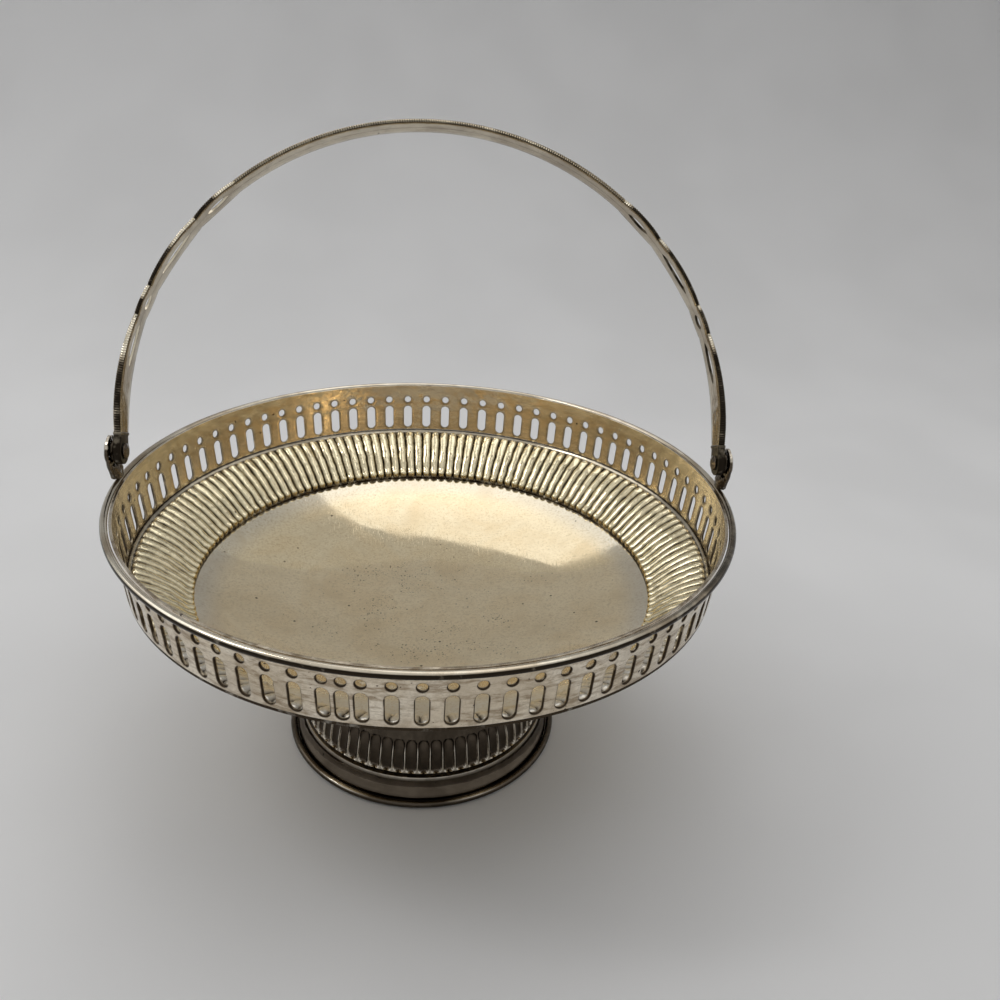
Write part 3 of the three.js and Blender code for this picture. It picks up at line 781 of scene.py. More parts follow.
# The cells stand in a row on the slots' places, and the wall bends round the basket.
# Only the plain metal between two openings takes up an uneven pitch.
def galleryTree(sizes):
    tree, group = newTree("slotRow", sizes)
    cell = addNode(tree, "GeometryNodeObjectInfo", {"Object": group["cell"]})
    copies = addNode(tree, "GeometryNodeInstanceOnPoints", {
        "Points": group["Mesh"], "Instance": cell.outputs["Geometry"],
    })
    solid = addNode(tree, "GeometryNodeRealizeInstances", {0: copies.outputs[0]}).outputs[0]
    slotAngle, reachBack, reachOn = pointValues(tree, "slotAngle", "reachBack", "reachOn")
    place = addNode(tree, "ShaderNodeSeparateXYZ", {0: addNode(tree, "GeometryNodeInputPosition").outputs[0]})
    x, depth, up = place.outputs
    onward = calc(tree, "GREATER_THAN", x, 0.0)
    reach = calc(tree, "+", calc(tree, "*", onward, reachOn),
                 calc(tree, "*", calc(tree, "-", 1.0, onward), reachBack))
    away = calc(tree, "ABSOLUTE", x)
    spare = calc(tree, "max", calc(tree, "-", away, group["fixedHalf"]), 0.0)
    stretch = calc(tree, "/", calc(tree, "-", reach, group["fixedHalf"]),
                   calc(tree, "-", group["cellHalf"], group["fixedHalf"]))
    moved = calc(tree, "+", calc(tree, "min", away, group["fixedHalf"]), calc(tree, "*", spare, stretch))
    middle = calc(tree, "+", group["bottomRadius"], calc(tree, "*", group["flare"], 0.5))
    turn = calc(tree, "/", calc(tree, "*", calc(tree, "SIGN", x), moved), middle)
    angle = calc(tree, "+", slotAngle, turn)
    share = calc(tree, "/", up, group["height"])
    outside = calc(tree, "+", group["bottomRadius"], calc(tree, "*", group["flare"], share))
    radius = calc(tree, "-", outside, depth)
    spot = addNode(tree, "ShaderNodeCombineXYZ", {
        "X": calc(tree, "COSINE", angle), "Y": calc(tree, "SINE", angle),
    }).outputs[0]
    noise = addNode(tree, "ShaderNodeTexNoise", {
        "Vector": spot, "Scale": calc(tree, "/", middle, group["dentSize"]), "Detail": 1.0,
    })
    push = calc(tree, "*", calc(tree, "-", noise.outputs["Fac"], 0.5), group["dent"])
    # Dents fade out towards the wall's soldered edges
    fade = calc(tree, "*", calc(tree, "*", share, calc(tree, "-", 1.0, share)), 4.0)
    scaled = calcVector(tree, "SCALE", spot, calc(tree, "+", radius, calc(tree, "*", push, fade)))
    lift = addNode(tree, "ShaderNodeCombineXYZ", {"Z": calc(tree, "+", up, group["bottomHeight"])})
    final = calcVector(tree, "ADD", scaled, lift.outputs[0])
    bent = addNode(tree, "GeometryNodeSetPosition", {"Geometry": solid, "Position": final})
    endTree(tree, bent.outputs[0], group, 0.01 * mm)
    return tree


def makeGallery():
    sizes = gallerySizes
    angles = slotPlaces()
    middle = sizes["bottomRadius"] + sizes["flare"] / 2
    gaps = [(b - a) % tau for a, b in zip(angles, angles[1:] + angles[:1])]
    on = [gap / 2 * middle * mm for gap in gaps]
    mesh = plainMesh("slotPlaces", [(0, 0, 0)] * len(angles), [],
                     slotAngle=angles, reachOn=on, reachBack=on[-1:] + on[:-1])
    cell = galleryCell()
    inputs = {"cell": cell}
    for key in "bottomRadius flare height bottomHeight cellHalf fixedHalf dent dentSize".split():
        inputs[key] = sizes[key] * mm
    row = bpy.data.objects.new("slotPlaces", mesh)
    wall = runTree(row, galleryTree(inputs), inputs, silver["gallery"], "pierced_gallery")
    bpy.data.objects.remove(cell)
    return wall


keep(makeGallery(), "basket", "gallery")
print("gallery made")


# Turned pieces: a profile of (radius, height) round an axis
def turned(profile, segments, closed):
    points, faces, rings = [], [], []
    for radius, height in profile:
        start = len(points)
        count = 1 if radius == 0 else segments
        for i in range(count):
            a = tau * i / segments
            points.append((radius * math.cos(a), radius * math.sin(a), height))
        rings.append([start + i % count for i in range(segments + 1)])
    pairs = list(zip(rings, rings[1:])) + ([(rings[-1], rings[0])] if closed else [])
    for a, b in pairs:
        for i in range(segments):
            face = [a[i], b[i], b[i + 1], a[i + 1]]
            faces.append([v for k, v in enumerate(face) if v != face[k - 1]])
    return points, faces


# Drawn wires round the rim and under the foot. Their tarnish values are partly painted light: the dark
# underside is partly tarnish and partly painted shade, the rim wire's upper part is a little brighter, rubbed
# wear and a painted highlight, the rim wire has painted shade at two directions round it, and the foot wire
# has narrow painted highlights at two directions
wireSizes = {
    "rim": {
        "radius": 125.2, "height": 120, "wire": 1.42,
        "edge": -0.25, "under": 1.5,  # tarnish values of the outer edge and below it
        # Painted shade at two directions round the rim wire
        "parts": ((-30, 1.15, 6), (175, 0.6, 6)),  # duller or brighter: direction, amount, how narrow
    },
    "foot": {
        "radius": 60.5, "height": 1.45, "wire": 1.45,
        "edge": 0.3, "under": 0.5,
        # Narrow painted highlights at two directions round the foot wire
        "parts": ((-124, -1.1, 50), (-70, -0.9, 50)),
    },
}
wireSides, wireSegments = 24, 288
wireShadedUnder = (0.62, -0.5)  # the underside is lower than this and further out, in wire radii


def makeWire(name, radius, height, wire, edge, under, parts):
    steps = [tau * i / wireSides for i in range(wireSides)]
    profile = [(radius + wire * math.sin(a), height + wire * math.cos(a)) for a in steps]
    points, faces = turned(profile, wireSegments, True)
    stain = []
    for x, y, z in points:
        out, up = (math.hypot(x, y) - radius) / wire, (z - height) / wire
        turn, shade = math.atan2(y, x), edge
        for direction, amount, narrow in parts:
            shade += amount * max(math.cos(turn - math.radians(direction)), 0) ** narrow
        stain.append(under if up < wireShadedUnder[0] and out > wireShadedUnder[1] else shade)
    return finishMesh(plainMesh(name, points, faces, tarnish=stain), name)


for word, slot in (("rim", "silver_plate"), ("foot", "tarnished_plate")):
    keep(makeWire(word + "_bead", **wireSizes[word]), "basket", word + "_wire", silver[word])
print("wires made")


# Foot: a dome with hollow flutes round its lower half, on a stepped flange, with a neck up
# to the bowl
footSizes = {
    "flutes": 64,
    "level": 0.6,  # of the smooth surface above the dome's line
    "depth": 1.5,
    "fluteTop": 0.66,  # share of the way down the dome
    "fluteWidth": 0.92,
    "fluteEnd": 0.16,
    "deepen": 1.6,  # how fast a flute gets deep from its round end
    "ridgeEdge": (0.88, 0.96),  # where the ridge's tone starts and is full, across a flute
    # The ridges' values are painted light: painted shade near the flutes' top, under the bowl, and painted
    # highlights lower down
    "ridgeShadeAndHighlight": (0.5, -1.1, 0.1, 0.4),  # from this value to that one, and between these shares
    "hollowStain": 0.3,
    "domeStain": 0.5,
    "underStain": 0.4,
    "domeBase": (53.9, 12.5),
    "domeTop": (32.5, 42.5),
    "domeSteps": (9, 10),  # of its smooth part, and of its underside
    "waist": 2.2,  # how much narrower the neck is in its middle
    "neck": (29.0, 57.5, 46.2, 8, 0.15),  # radius, from and to height, steps, tarnish value
    "neckInside": (27.9, 45.5, 56.5, 6, 0.4),
    "bead": (31.0, 44.9, 1.3, 0.1),  # round the neck's foot: place, radius, tarnish value
    "hollow": 0.8,  # of the flange's curve
    "flangeSteps": 8,
    "shift": 0.6,  # how far the flutes stray, and over what length
    "shiftSize": 7.0,
    # Radius, height, tarnish value and columns of turned parts
    "seat": ((23, 59.5), (31.6, 59.5), (32, 59.1), (32, 58.6), (31.5, 58.1, 0.6)),
    "shoulder": (31.3, 43.0, 0.8, 4),
    # The step's edges carry values below zero: painted highlights along them, partly rubbed wear
    "step": (
        (54.4, 12.2, -0.5, 4), (54.0, 11.7, 1.2), (54.8, 11.2, 1.0), (55.5, 11.1, -0.6), (55.9, 10.1, -0.3),
        (55.9, 9.3, 0.2),
    ),
    "skirt": ((58.5, 3.2, 0.5), (58.7, 0.3, 0.5), (57.6, 0.3), (57.4, 3.2, 0.4), (54.7, 9.7, 0.4)),
    "underNeck": (29.6, 43.6, 0.4),
    "underSeat": ((29.8, 58.4, 0.4), (23, 58.4, 0.4), (23, 59.5)),
}
# Rows along the flutes, and points across one
fluteSteps = (
    0, 0.004, 0.016, 0.036, 0.064, 0.1, 0.16, 0.26, 0.38, 0.5, 0.62, 0.74, 0.84, 0.9, 0.936, 0.964,
    0.984, 0.996, 1,
)
hollowMarks = (-1, -0.93, -0.88, -0.8, -0.62, -0.32, 0, 0.32, 0.62, 0.8, 0.88, 0.93, 1)


def footDome(share):
    base, top = footSizes["domeBase"], footSizes["domeTop"]
    turn = (1 - share) * math.pi / 2
    return (top[0] + (base[0] - top[0]) * math.cos(turn), base[1] + (top[1] - base[1]) * math.sin(turn))


def domeRow(share, distance, stain, columns=2):
    point = shifted(footDome(share), curveNormal(footDome, share, -1), distance)
    return smoothRow(*point, stain, columns)


def neckRows(radius, start, end, steps, stain):
    shares = [k / steps for k in range(steps + 1)]
    waist = footSizes["waist"]
    return [smoothRow(radius + waist * (2 * s - 1) ** 2, start + (end - start) * s, stain) for s in shares]


# The flange runs down from the step to the skirt in a hollow curve
def flangeRows():
    (top, high), (foot, low) = footSizes["step"][-1][:2], footSizes["skirt"][0][:2]
    rows, steps = [], footSizes["flangeSteps"]
    for k in range(1, steps):
        share = k / steps
        radius = top + (foot - top) * share - 4 * footSizes["hollow"] * share * (1 - share)
        rows.append(smoothRow(radius, high + (low - high) * share))
    return rows


# A hollow flute, sunk below the smooth level, with thin ridges beside it that carry painted shade and painted
# highlights
def hollowSection(depth, ridge):
    level, stain = footSizes["level"], footSizes["hollowStain"]
    start, end = footSizes["ridgeEdge"]
    return lambda across: (level - depth * arc(across), stain + (ridge - stain) * ramp(across, start, end))


def makeFoot():
    sizes = footSizes
    level, depth, first, end = (sizes[key] for key in ("level", "depth", "fluteTop", "fluteEnd"))
    domeSteps, underSteps = sizes["domeSteps"]
    ridgeTop, ridgeLow, *ridgeShares = sizes["ridgeShadeAndHighlight"]
    rows = smoothRows(sizes["seat"]) + neckRows(*sizes["neck"])
    out, up, radius, stain = sizes["bead"]
    for turn in range(0, 181, 30):
        a = math.radians(90 - turn)
        rows.append(smoothRow(out + radius * math.cos(a), up + radius * math.sin(a), stain))
    rows.append(smoothRow(*sizes["shoulder"]))
    rows += [domeRow(first * k / domeSteps, level, sizes["domeStain"], 6) for k in range(domeSteps)]
    for step in fluteSteps:
        share = first + (1 - first) * step
        width = sizes["fluteWidth"] * roundEnds(step, end, end)
        ridge = ridgeTop + (ridgeLow - ridgeTop) * ramp(step, *ridgeShares)
        section = hollowSection(depth * min(sizes["deepen"] * width, 1), ridge)
        rows.append(fluteRow(footDome(share), curveNormal(footDome, share, -1), width, hollowMarks, section))
    rows += smoothRows(sizes["step"]) + flangeRows() + smoothRows(sizes["skirt"])
    for share in (k / underSteps for k in range(underSteps, -1, -1)):
        deep = (depth if share > first - 1 / underSteps else 0) + sheet - level
        rows.append(domeRow(share, -deep, sizes["underStain"]))
    rows.append(smoothRow(*sizes["underNeck"]))
    rows += neckRows(*sizes["neckInside"]) + smoothRows(sizes["underSeat"])
    return makeRing("fluted_foot", rows, sizes, silver["foot"])


keep(makeFoot(), "basket", "foot")
print("foot made")


# Swing handle: a lobed strip with milled borders, pierced in each lobe
handleSizes = {
    "lean": 25.0,
    "pivot": 133.5,  # height of the hinge above the table
    "halfSpan": 121.1,  # of the arch's inner face
    "rise": 119.6,
    "leg": 14.3,  # from the hinge up to the arch
    "web": 1.1,  # thickness between the borders
    "borderWidth": 1.7,
    "borderAtHinge": 2.9,
    "borderAtTop": 1.75,
    "borderTaper": 22.0,
    "plainWidth": 11.0,
    "cuspWidth": 10.3,
    "collarWidth": 9.0,
    "collarAngle": -3.5,  # where the strip starts, on the straight leg below the arch
    "lobeFullness": 0.55,
    "eyeRadius": 5.3,
    "bore": 1.8,  # radius
    "boreSides": 24,
    "eyeSides": 19,
    "neck": (0.2, 3.6, 0.6),  # from eye to collar: wider than that by, height, and the eye's straight part
    "overlap": 0.5,  # of the eye plate and the strip
    "piercingWidth": 4.4,
    "piercingFullness": 0.6,
    "stepLength": 0.24,  # between the strip's sections
    "endShares": (0, 0.02, 0.07, 0.15, 0.27),  # extra sections at a piercing's ends, in its half widths
    "leastStep": 0.08,  # sections closer than this share of a step are left out
    "millPitch": 0.96,
    "millDepth": 0.3,
    "millClean": 0.95,  # taken off the tarnish value at the tips between the grooves
    "plateBevel": 0.3,
    "collarBand": (0.35, 0.6, 0.25, 0.1),  # past the collar at its sides, half height, inward, outward
    "eyeStain": 1.2,  # tarnish values
    "collarStain": 0.9,
    # Painted light: a painted reflection on the piercings' walls, bright on the left and dark on the right,
    # and painted shade and painted highlights on the strip's sides
    "wallPaintedLight": (-0.9, 1.0),  # of the piercings' walls, left and right
    "sidePaintedLight": (1.9, -0.8, -0.3),  # of the strip's sides: dull, bright, and least at the inner edge
    "paintedShineStart": (0.48, 0.76),  # share of a lobe above which its side is bright, left and right
    "paintedShineFade": 1 / 6,
    "plainPaintedShine": 0.35,
}
# Each lobe: from, to, width, and where its piercing starts and ends
lobes = [
    (-3.5, 19, 13.7, 9.2, 17.6),
    (19, 25, 12.9, 20.5, 23.6),
    (25, 40, 14.1, 28.2, 37.4),
    (40, 50, 13.8, 42.4, 47.8),
]


def stripWidth(angle):
    sizes = handleSizes
    for start, end, width, _, _ in lobes:
        if start <= angle <= end:
            share = (angle - start) / (end - start)
            first = sizes["collarWidth"] if start == sizes["collarAngle"] else sizes["cuspWidth"]
            base = first + (sizes["cuspWidth"] - first) * share
            full = math.sin(math.pi * share) ** sizes["lobeFullness"]
            return base + (width - sizes["cuspWidth"]) * full
    return sizes["plainWidth"]


# A pointed oval, fuller than a sine
def piercingHalf(angle):
    sizes = handleSizes
    for _, _, _, start, end in lobes:
        if start < angle < end:
            share = (angle - start) / (end - start)
            return sizes["piercingWidth"] / 2 * math.sin(math.pi * share) ** sizes["piercingFullness"]
    return 0.0


# Share of painted highlight on the strip's side: the upper part of each lobe is painted bright and
# the rest painted dark, a longer bright part on the left than on the right
def lobePaintedShine(angle, side):
    first = handleSizes["paintedShineStart"][side > 0]
    for start, end, *_ in lobes:
        if start <= angle <= end:
            start = max(start, 0)
            return ramp((angle - start) / (end - start), first, first + handleSizes["paintedShineFade"])
    return handleSizes["plainPaintedShine"]


def archPoint(angle):
    sizes = handleSizes
    turn = math.radians(angle)
    if angle < 0:
        return sizes["halfSpan"], sizes["leg"] + turn * sizes["halfSpan"], (1, 0)
    across, up = sizes["halfSpan"] * math.cos(turn), sizes["rise"] * math.sin(turn)
    slope = (math.cos(turn) / sizes["halfSpan"], math.sin(turn) / sizes["rise"])
    length = math.hypot(*slope)
    return across, sizes["leg"] + up, (slope[0] / length, slope[1] / length)


# Angles of the strip's sections from the collar to the top, closer at the piercings' ends
def stripAngles():
    sizes = handleSizes
    step = math.degrees(sizes["stepLength"] / sizes["halfSpan"])
    angles = list(np.arange(sizes["collarAngle"], 90, step)) + [90.0]
    radius = math.degrees(sizes["piercingWidth"] / 2 / sizes["halfSpan"])
    for _, _, _, start, end in lobes:
        for share in sizes["endShares"]:
            angles += [start + radius * share, end - radius * share]
    angles = sorted(angles)
    return [a for i, a in enumerate(angles) if i == 0 or a - angles[i - 1] > step * sizes["leastStep"]]


# Half a section from the middle of the inner face round to the middle of the outer face:
# (out from the middle line, up from the inner face, share of milling, tarnish). The last points
# lie on the piercing's wall.
# The values for the sides and for the piercing's wall are painted light: painted shade, painted highlights
# and a painted reflection
def halfSection(width, hole, border, shine, wall):
    web, rib = handleSizes["web"], handleSizes["borderWidth"]
    w, c = width / 2, width / 2 - rib
    dull, bright, least = handleSizes["sidePaintedLight"]
    side = dull + (bright - dull) * shine
    return [
        (hole, 0, 0, 0.9), (hole + 0.22, 0, 0, 0.1), ((hole + w) / 2, 0, 0, 0), (w - 0.6, 0, 0, 0),
        (w - 0.25, 0.1, 0.3, 1.6), (w, 0.4, 1, max(side, least)), (w, border / 2, 1, side),
        (w, border - 0.45, 1, side), (w - 0.22, border - 0.1, 1, 1.0), (w - rib / 2, border, 1, 0.8),
        (c + 0.25, border - 0.12, 0.7, 0.6), (c, border - 0.4, 0, 0.9), (c - 0.1, web + 0.15, 0, 1.0),
        (c - 0.35, web, 0, 0.8), (max((hole + c) / 2, hole), web, 0, 0.1), (hole, web, 0, 0.6),
        (hole, web - 0.2, 0, wall), (hole, 0.2, 0, wall),
    ]


def handleStrip():
    sizes = handleSizes
    half = stripAngles()
    stations = [(a, -1) for a in half] + [(a, 1) for a in reversed(half[:-1])]
    points, faces, along, mill, stain = [], [], [], [], []
    run, previous = 0.0, None
    for angle, side in stations:
        across, up, normal = archPoint(angle)
        here = Vector((side * across, up))
        run += (here - previous).length if previous else 0
        previous = here
        taper = ramp(angle, 0, sizes["borderTaper"])
        border = sizes["borderAtHinge"] + (sizes["borderAtTop"] - sizes["borderAtHinge"]) * taper
        wall = sizes["wallPaintedLight"][side > 0]
        section = halfSection(stripWidth(angle), piercingHalf(angle), border, lobePaintedShine(angle, side), wall)
        for flank in (1, -1):
            for out, rise, share, dark in section:
                points.append((side * (across + normal[0] * rise), flank * out, up + normal[1] * rise))
                along.append(run * mm)
                mill.append(share)
                stain.append(dark)
    size = len(section)
    solid = size - 2
    pierced = [piercingHalf(angle) > 0 for angle, _ in stations]
    for row in range(len(stations) - 1):
        around = size if pierced[row] or pierced[row + 1] else solid - 1
        for flank in (0, 1):
            a = (row * 2 + flank) * size
            b = a + 2 * size
            for k in range(around):
                on = (k + 1) % size
                faces.append((a + k, b + k, b + on, a + on))
    for a in (0, (len(stations) - 1) * 2 * size):
        faces.append(list(range(a, a + solid)) + list(range(a + size + solid - 1, a + size - 1, -1)))
    return plainMesh("strip", points, faces, along=along, mill=mill, tarnish=stain)


# Merges doubled points and turns the faces outward
def weldedMesh(mesh):
    distance = 0.001 * mm
    shape = bmesh.new()
    shape.from_mesh(mesh)
    bmesh.ops.remove_doubles(shape, verts=shape.verts, dist=distance)
    bmesh.ops.dissolve_degenerate(shape, edges=shape.edges, dist=distance / 10)
    bmesh.ops.delete(shape, geom=[v for v in shape.verts if not v.link_faces], context="VERTS")
    bmesh.ops.recalc_face_normals(shape, faces=shape.faces)
    shape.to_mesh(mesh)
    shape.free()
    return mesh


# Cuts fine cross grooves into the strip's borders
def millingTree():
    tree, group = newTree("milling", {"pitch": 1.0, "depth": 1.0, "clean": 1.0})
    along, mill, tarnish = pointValues(tree, "along", "mill", "tarnish")
    turn = calc(tree, "*", calc(tree, "/", along, group["pitch"]), tau)
    groove = calc(tree, "*", calc(tree, "-", 1.0, calc(tree, "COSINE", turn)), 0.5)
    depth = calc(tree, "*", calc(tree, "*", groove, mill), group["depth"])
    normal = addNode(tree, "GeometryNodeInputNormal").outputs[0]
    push = calcVector(tree, "SCALE", normal, calc(tree, "*", depth, -1.0))
    cut = addNode(tree, "GeometryNodeSetPosition", {"Geometry": group["Mesh"], "Offset": push})
    # The tips between the grooves are rubbed cleaner than the grooves
    tip = calc(tree, "*", calc(tree, "-", 1.0, groove), mill)
    stain = calc(tree, "-", tarnish, calc(tree, "*", tip, group["clean"]))
    stained = addNode(tree, "GeometryNodeStoreNamedAttribute", {
        "Geometry": cut.outputs[0], "Name": "tarnish", "Value": stain,
    }, data_type="FLOAT", domain="POINT")
    endTree(tree, stained.outputs[0], group, 0.0001 * mm)
    return tree


# A flat plate from an outline in (Y, Z), with a bore, from one X to another, edges bevelled
def plate(outline, bore, fromX, toX, bevel, stain):
    shape = bmesh.new()
    loops = [outline]
    if bore:
        turns = [tau * i / handleSizes["boreSides"] for i in range(handleSizes["boreSides"])]
        loops.append([(bore * math.cos(a), bore * math.sin(a)) for a in turns])
    edges = []
    for loop in loops:
        verts = [shape.verts.new((fromX * mm, y * mm, z * mm)) for y, z in loop]
        edges += [shape.edges.new((verts[i - 1], verts[i])) for i in range(len(verts))]
    bmesh.ops.triangle_fill(shape, edges=edges, use_beauty=True)
    made = bmesh.ops.extrude_face_region(shape, geom=shape.faces[:])
    moved = [v for v in made["geom"] if isinstance(v, bmesh.types.BMVert)]
    bmesh.ops.translate(shape, verts=moved, vec=((toX - fromX) * mm, 0, 0))
    bmesh.ops.recalc_face_normals(shape, faces=shape.faces)
    sharp = [e for e in shape.edges if len(e.link_faces) == 2 and e.calc_face_angle() > 1]
    bmesh.ops.bevel(shape, geom=sharp, offset=bevel * mm, segments=3, profile=0.5, affect="EDGES")
    mesh = bpy.data.meshes.new("plate")
    shape.to_mesh(mesh)
    shape.free()
    mesh.attributes.new("tarnish", "FLOAT", "POINT").data.foreach_set("value", [stain] * len(mesh.vertices))
    return mesh


def joinMeshes(name, meshes):
    shape = bmesh.new()
    for mesh in meshes:
        shape.from_mesh(mesh)
    joined = bpy.data.meshes.new(name)
    shape.to_mesh(joined)
    shape.free()
    return joined


def collarHeight():
    return handleSizes["leg"] + math.radians(handleSizes["collarAngle"]) * handleSizes["halfSpan"]


def eyeOutline():
    sizes = handleSizes
    radius, half, top = sizes["eyeRadius"], sizes["collarWidth"] / 2, collarHeight() + sizes["overlap"]
    turns = np.linspace(math.pi, tau, sizes["eyeSides"] + 1)
    bottom = [(radius * math.cos(a), radius * math.sin(a)) for a in turns]
    wider, height, straight = sizes["neck"]
    side = [(radius, straight), (half + wider, height), (half, top)]
    return bottom + side + [(-y, z) for y, z in reversed(side)]


def makeHandle():
    sizes = handleSizes
    source = bpy.data.objects.new("strip", weldedMesh(handleStrip()))
    inputs = {"pitch": sizes["millPitch"] * mm, "depth": sizes["millDepth"] * mm, "clean": sizes["millClean"]}
    strip = runTree(source, millingTree(), inputs, silver["handle"], "strip")
    outer = sizes["halfSpan"] + sizes["borderAtHinge"]
    half, rise, under, over = sizes["collarBand"]
    half += sizes["collarWidth"] / 2
    corners = ((-half, -rise), (half, -rise), (half, rise), (-half, rise))
    collar = [(y, collarHeight() + z) for y, z in corners]
    bevel = sizes["plateBevel"]
    parts = [strip.data]
    for side in (-1, 1):
        inner = side * sizes["halfSpan"]
        parts.append(plate(eyeOutline(), sizes["bore"], inner, side * outer, bevel, sizes["eyeStain"]))
        ends = (inner - side * under, side * (outer + over))
        parts.append(plate(collar, 0, *ends, bevel, sizes["collarStain"]))
    mesh = joinMeshes("handle", parts)
    bpy.data.objects.remove(strip)
    lean = Matrix.Rotation(math.radians(-sizes["lean"]), 4, "X")
    mesh.transform(Matrix.Translation((0, 0, sizes["pivot"] * mm)) @ lean)
    return finishMesh(mesh, "swing_handle_strip", sharpAngle=32)


keep(makeHandle(), "swing_handle", "handle", silver["handle"])
print("handle made")


# Hinge: an ear standing on the rim wire, a washer and a domed rivet on each side. X is outward
# from the basket's axis, and Z is from the pivot.
hingeSizes = {
    "earX": 125.4,
    "earThickness": 1.8,
    "earRadius": 6.4,
    "earScallop": (0.02, 8),  # depth as a share of the radius, and how many to a turn
    "earTurn": (0.45, 30),  # how far its round top goes below the middle, in radians, and its points
    "earSides": ((-5.2, 5.4), (-7.6, 4.3), (-9.8, 3.0), (-11.8, 1.9)),  # height and half width
    "earMiddle": -1.5,  # height about which the outline shrinks towards the domed face
    "earDome": 0.9,
    "domeRows": ((0.35, 0.72), (0.7, 0.45), (0.9, 0.2)),  # share of the dome, and of the outline
    # Painted light on the ear's edge: a painted glint above the height, darker below it
    "earGlintAndShade": (-0.9, 0.5, 2.5),  # tarnish value above and below the height
    # The ear's foot thickens inward to sit on the wire: X, half width and height of its corners
    "lug": (
        (123.3, 1.9, -11.8), (127.5, 1.9, -11.8), (123.4, 3.2, -7.4), (125.6, 4.2, -4.2), (127.5, 3.7, -6.5),
    ),
    "lugBevel": 0.6,
    # Radius and X of the washer's and the rivet's profiles
    "washer": ((1.8, 124.3), (4.5, 124.3), (4.6, 124.4), (4.6, 125.0), (4.5, 125.1), (1.8, 125.1)),
    "washerStain": 0.7,
    "rivetInner": 120.8,
    "head": (3.2, 1.15, 0.3),  # radius, height, and how much of that is its edge
    "shank": ((3.2, 120.65), (3.05, 120.8), (1.5, 120.8), (1.5, 127.5)),
    "tail": ((2.8, 127.5), (2.66, 127.9), (1.68, 128.35), (0, 128.5)),
    "segments": 32,
}


def earOutline(scale):
    radius, middle = hingeSizes["earRadius"], hingeSizes["earMiddle"]
    (scallop, waves), (below, count) = hingeSizes["earScallop"], hingeSizes["earTurn"]
    outline = []
    for a in np.linspace(-below, math.pi + below, count):
        reach = radius * (1 + scallop * math.cos(waves * a))
        outline.append((reach * math.cos(a), reach * math.sin(a)))
    outline += [(-half, z) for z, half in hingeSizes["earSides"]]
    outline += [(half, z) for z, half in reversed(hingeSizes["earSides"])]
    return [(y * scale, middle + (z - middle) * scale) for y, z in outline]


def lugMesh(side):
    shape = bmesh.new()
    for x, y, z in hingeSizes["lug"]:
        for flank in (-1, 1):
            shape.verts.new((side * x * mm, flank * y * mm, z * mm))
    bmesh.ops.convex_hull(shape, input=shape.verts)
    bmesh.ops.recalc_face_normals(shape, faces=shape.faces)
    bmesh.ops.bevel(shape, geom=shape.edges[:], offset=hingeSizes["lugBevel"] * mm, segments=3,
                    profile=0.5, affect="EDGES")
    mesh = bpy.data.meshes.new("lug")
    shape.to_mesh(mesh)
    shape.free()
    return mesh


def sideWord(side):
    return "right" if side > 0 else "left"


def makeEar(side):
    start, thick, dome = (hingeSizes[key] for key in ("earX", "earThickness", "earDome"))
    above, below, height = hingeSizes["earGlintAndShade"]
    layers = [(0.0, 0.9), (0.35, 1.0), (thick - 0.5, 1.0), (thick, 0.9)]
    layers += [(thick + dome * (share - 0.5), scale) for share, scale in hingeSizes["domeRows"]]
    points, faces, stain = [], [], []
    for layer, (depth, scale) in enumerate(layers):
        outline = earOutline(scale)
        points += [(side * (start + depth), y, z) for y, z in outline]
        stain += [(above if z > height else below) if layer in (1, 2) else 0.0 for _, z in outline]
    count = len(outline)
    for layer in range(len(layers) - 1):
        a, b = layer * count, (layer + 1) * count
        faces += [(a + i, a + (i + 1) % count, b + (i + 1) % count, b + i) for i in range(count)]
    faces.append(list(range(count))[::-1])
    faces.append(list(range((len(layers) - 1) * count, len(layers) * count)))
    leaf = weldedMesh(plainMesh("leaf", points, faces, tarnish=stain))
    mesh = joinMeshes("ear", [leaf, lugMesh(side)])
    mesh.transform(Matrix.Translation((0, 0, handleSizes["pivot"] * mm)))
    return finishMesh(mesh, "ear_leaf_" + sideWord(side), sharpAngle=40)


# A piece turned about the hinge's axis, from a profile of (radius, X)
def turnedAtHinge(name, profile, side, closed, stain):
    points, faces = turned(profile, hingeSizes["segments"], closed)
    points = [(side * z, y, x + handleSizes["pivot"]) for x, y, z in points]
    return finishMesh(weldedMesh(plainMesh(name, points, faces, tarnish=[stain] * len(points))), name)


def makeRivet(side):
    inner = hingeSizes["rivetInner"]
    radius, height, edge = hingeSizes["head"]
    profile = [(0, inner - height)]
    for turn in (math.radians(a) for a in (15, 30, 45, 60, 75, 88)):
        profile.append((radius * math.sin(turn), inner - edge - (height - edge) * math.cos(turn)))
    profile += hingeSizes["shank"] + hingeSizes["tail"]
    return turnedAtHinge("rivet_dome_" + sideWord(side), profile, side, False, 0.0)


def makeWasher(side):
    name = "washer_ring_" + sideWord(side)
    return turnedAtHinge(name, hingeSizes["washer"], side, True, hingeSizes["washerStain"])


for side in (-1, 1):
    for word, make, slot in (
        ("ear_", makeEar, "tarnished_plate"), ("rivet_", makeRivet, "handle_plate"),
        ("washer_", makeWasher, "tarnished_plate"),
    ):
        keep(make(side), "basket", word + sideWord(side), silver["hinge"])
print("hinges made")


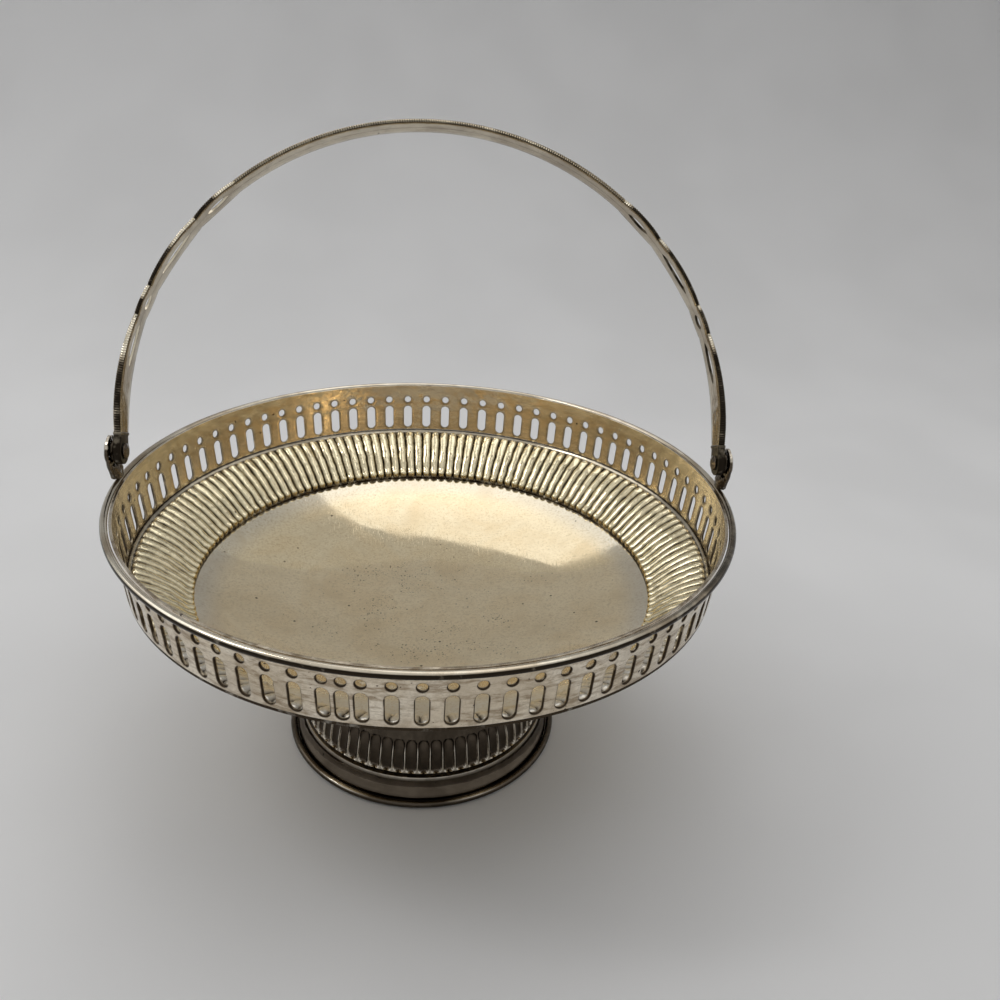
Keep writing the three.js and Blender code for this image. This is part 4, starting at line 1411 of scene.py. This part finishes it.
# Floor and backdrop in one sweep of pale cloth
studioSizes = {
    "halfWidth": 1500,
    "front": -1500,
    "bend": 330,
    "bendRadius": 620,
    "bendSteps": 16,
    "wallHeight": 900,
    "wallLean": 60,
    "cloth": (0.86, 0.86, 0.865),
    "foldShade": 0.95,
    "folds": (180, 2.0, 0.5, 0.0, 0.35, 0.65),  # a noise pattern, as those of the silver
    "light": ((0.10, 0.098, 0.095), (0.73, 0.727, 0.72)),  # low on the camera's side, and above
    "room": ((0.50, 0.50, 0.49), (0.71, 0.70, 0.685)),  # the same, as the eye and the metal see it
    "behind": (0.42, 0.42, 0.41),  # and behind the backdrop
    "rise": (0.8, -0.1, 0.95),  # part of Y in the height, and where the room starts and ends to get light
    "behindBand": (0.35, 0.6),
}
# Soft boxes: place, the point they face, turn about their own axis, size and power
softBoxes = {
    "over": {"place": (63, 450, 1400), "aim": (63, 450, 0), "turn": 26, "size": (600, 2100), "power": 2.4},
    "left": {"place": (-1250, 350, 1250), "aim": (0, 0, 60), "turn": 0, "size": (1000, 1000), "power": 2.2},
    "side": {"place": (-620, -60, 900), "aim": (0, 0, 60), "turn": 0, "size": (110, 420), "power": 0.8},
}


def makeBackdrop():
    sizes = studioSizes
    bend, radius, steps = sizes["bend"], sizes["bendRadius"], sizes["bendSteps"]
    profile = [(sizes["front"], 0)]
    for i in range(steps + 1):
        a = math.pi / 2 * i / steps
        profile.append((bend + radius * math.sin(a), radius * (1 - math.cos(a))))
    profile.append((bend + radius + sizes["wallLean"], sizes["wallHeight"]))
    points = [(x, y, z) for y, z in profile for x in (-sizes["halfWidth"], sizes["halfWidth"])]
    faces = [(2 * i, 2 * i + 1, 2 * i + 3, 2 * i + 2) for i in range(len(profile) - 1)]
    backdrop = finishMesh(plainMesh("backdrop", points, faces), "backdrop", sharpAngle=60)
    material, tree, shader = newMaterial("pale cloth")
    place = addNode(tree, "ShaderNodeTexCoord").outputs["Object"]
    folds = patternNode(tree, place, sizes["folds"])
    tint = [c * sizes["foldShade"] for c in sizes["cloth"]]
    tree.links.new(mixColors(tree, folds, sizes["cloth"], tint), shader.inputs["Base Color"])
    shader.inputs["Roughness"].default_value = 0.9
    backdrop.data.materials.append(material)


def addSoftBox(name, place, aim, turn, size, power):
    light = bpy.data.lights.new(name, "AREA")
    light.shape = "RECTANGLE"
    light.size, light.size_y = (value * mm for value in size)
    light.energy = power
    lamp = bpy.data.objects.new(name, light)
    facing = (Vector(aim) - Vector(place)).to_track_quat("-Z", "Y").to_matrix().to_4x4()
    roll = Matrix.Rotation(math.radians(turn), 4, "Z")
    lamp.matrix_world = Matrix.Translation(Vector(place) * mm) @ facing @ roll
    bpy.context.scene.collection.objects.link(lamp)


# A plain room that lights from above and behind, dimmest low down on the camera's side
def makeWorld():
    world = bpy.data.worlds.new("studio")
    bpy.context.scene.world = world
    world.use_nodes = True
    tree = world.node_tree
    tree.nodes.clear()
    place = addNode(tree, "ShaderNodeTexCoord").outputs["Generated"]
    ray = addNode(tree, "ShaderNodeSeparateXYZ", {0: place}).outputs
    part, start, end = studioSizes["rise"]
    height = calc(tree, "+", calc(tree, "*", ray["Y"], part), ray["Z"])
    side = band(tree, height, start, end)
    light, room = (mixColors(tree, side, *studioSizes[key]) for key in ("light", "room"))
    behind = band(tree, ray["Y"], *studioSizes["behindBand"])
    room = mixColors(tree, behind, room, studioSizes["behind"])
    rays = addNode(tree, "ShaderNodeLightPath").outputs
    seen = calc(tree, "max", rays["Is Camera Ray"], rays["Is Glossy Ray"])
    seen = calc(tree, "max", seen, rays["Is Transmission Ray"])
    color = mixColors(tree, seen, light, room)
    sky = addNode(tree, "ShaderNodeBackground", {"Color": color, "Strength": 1.0})
    addNode(tree, "ShaderNodeOutputWorld", {"Surface": sky.outputs[0]})


makeBackdrop()
makeWorld()
for name, box in softBoxes.items():
    addSoftBox(name, **box)
bpy.context.scene.view_settings.view_transform = "Standard"
print("studio made")
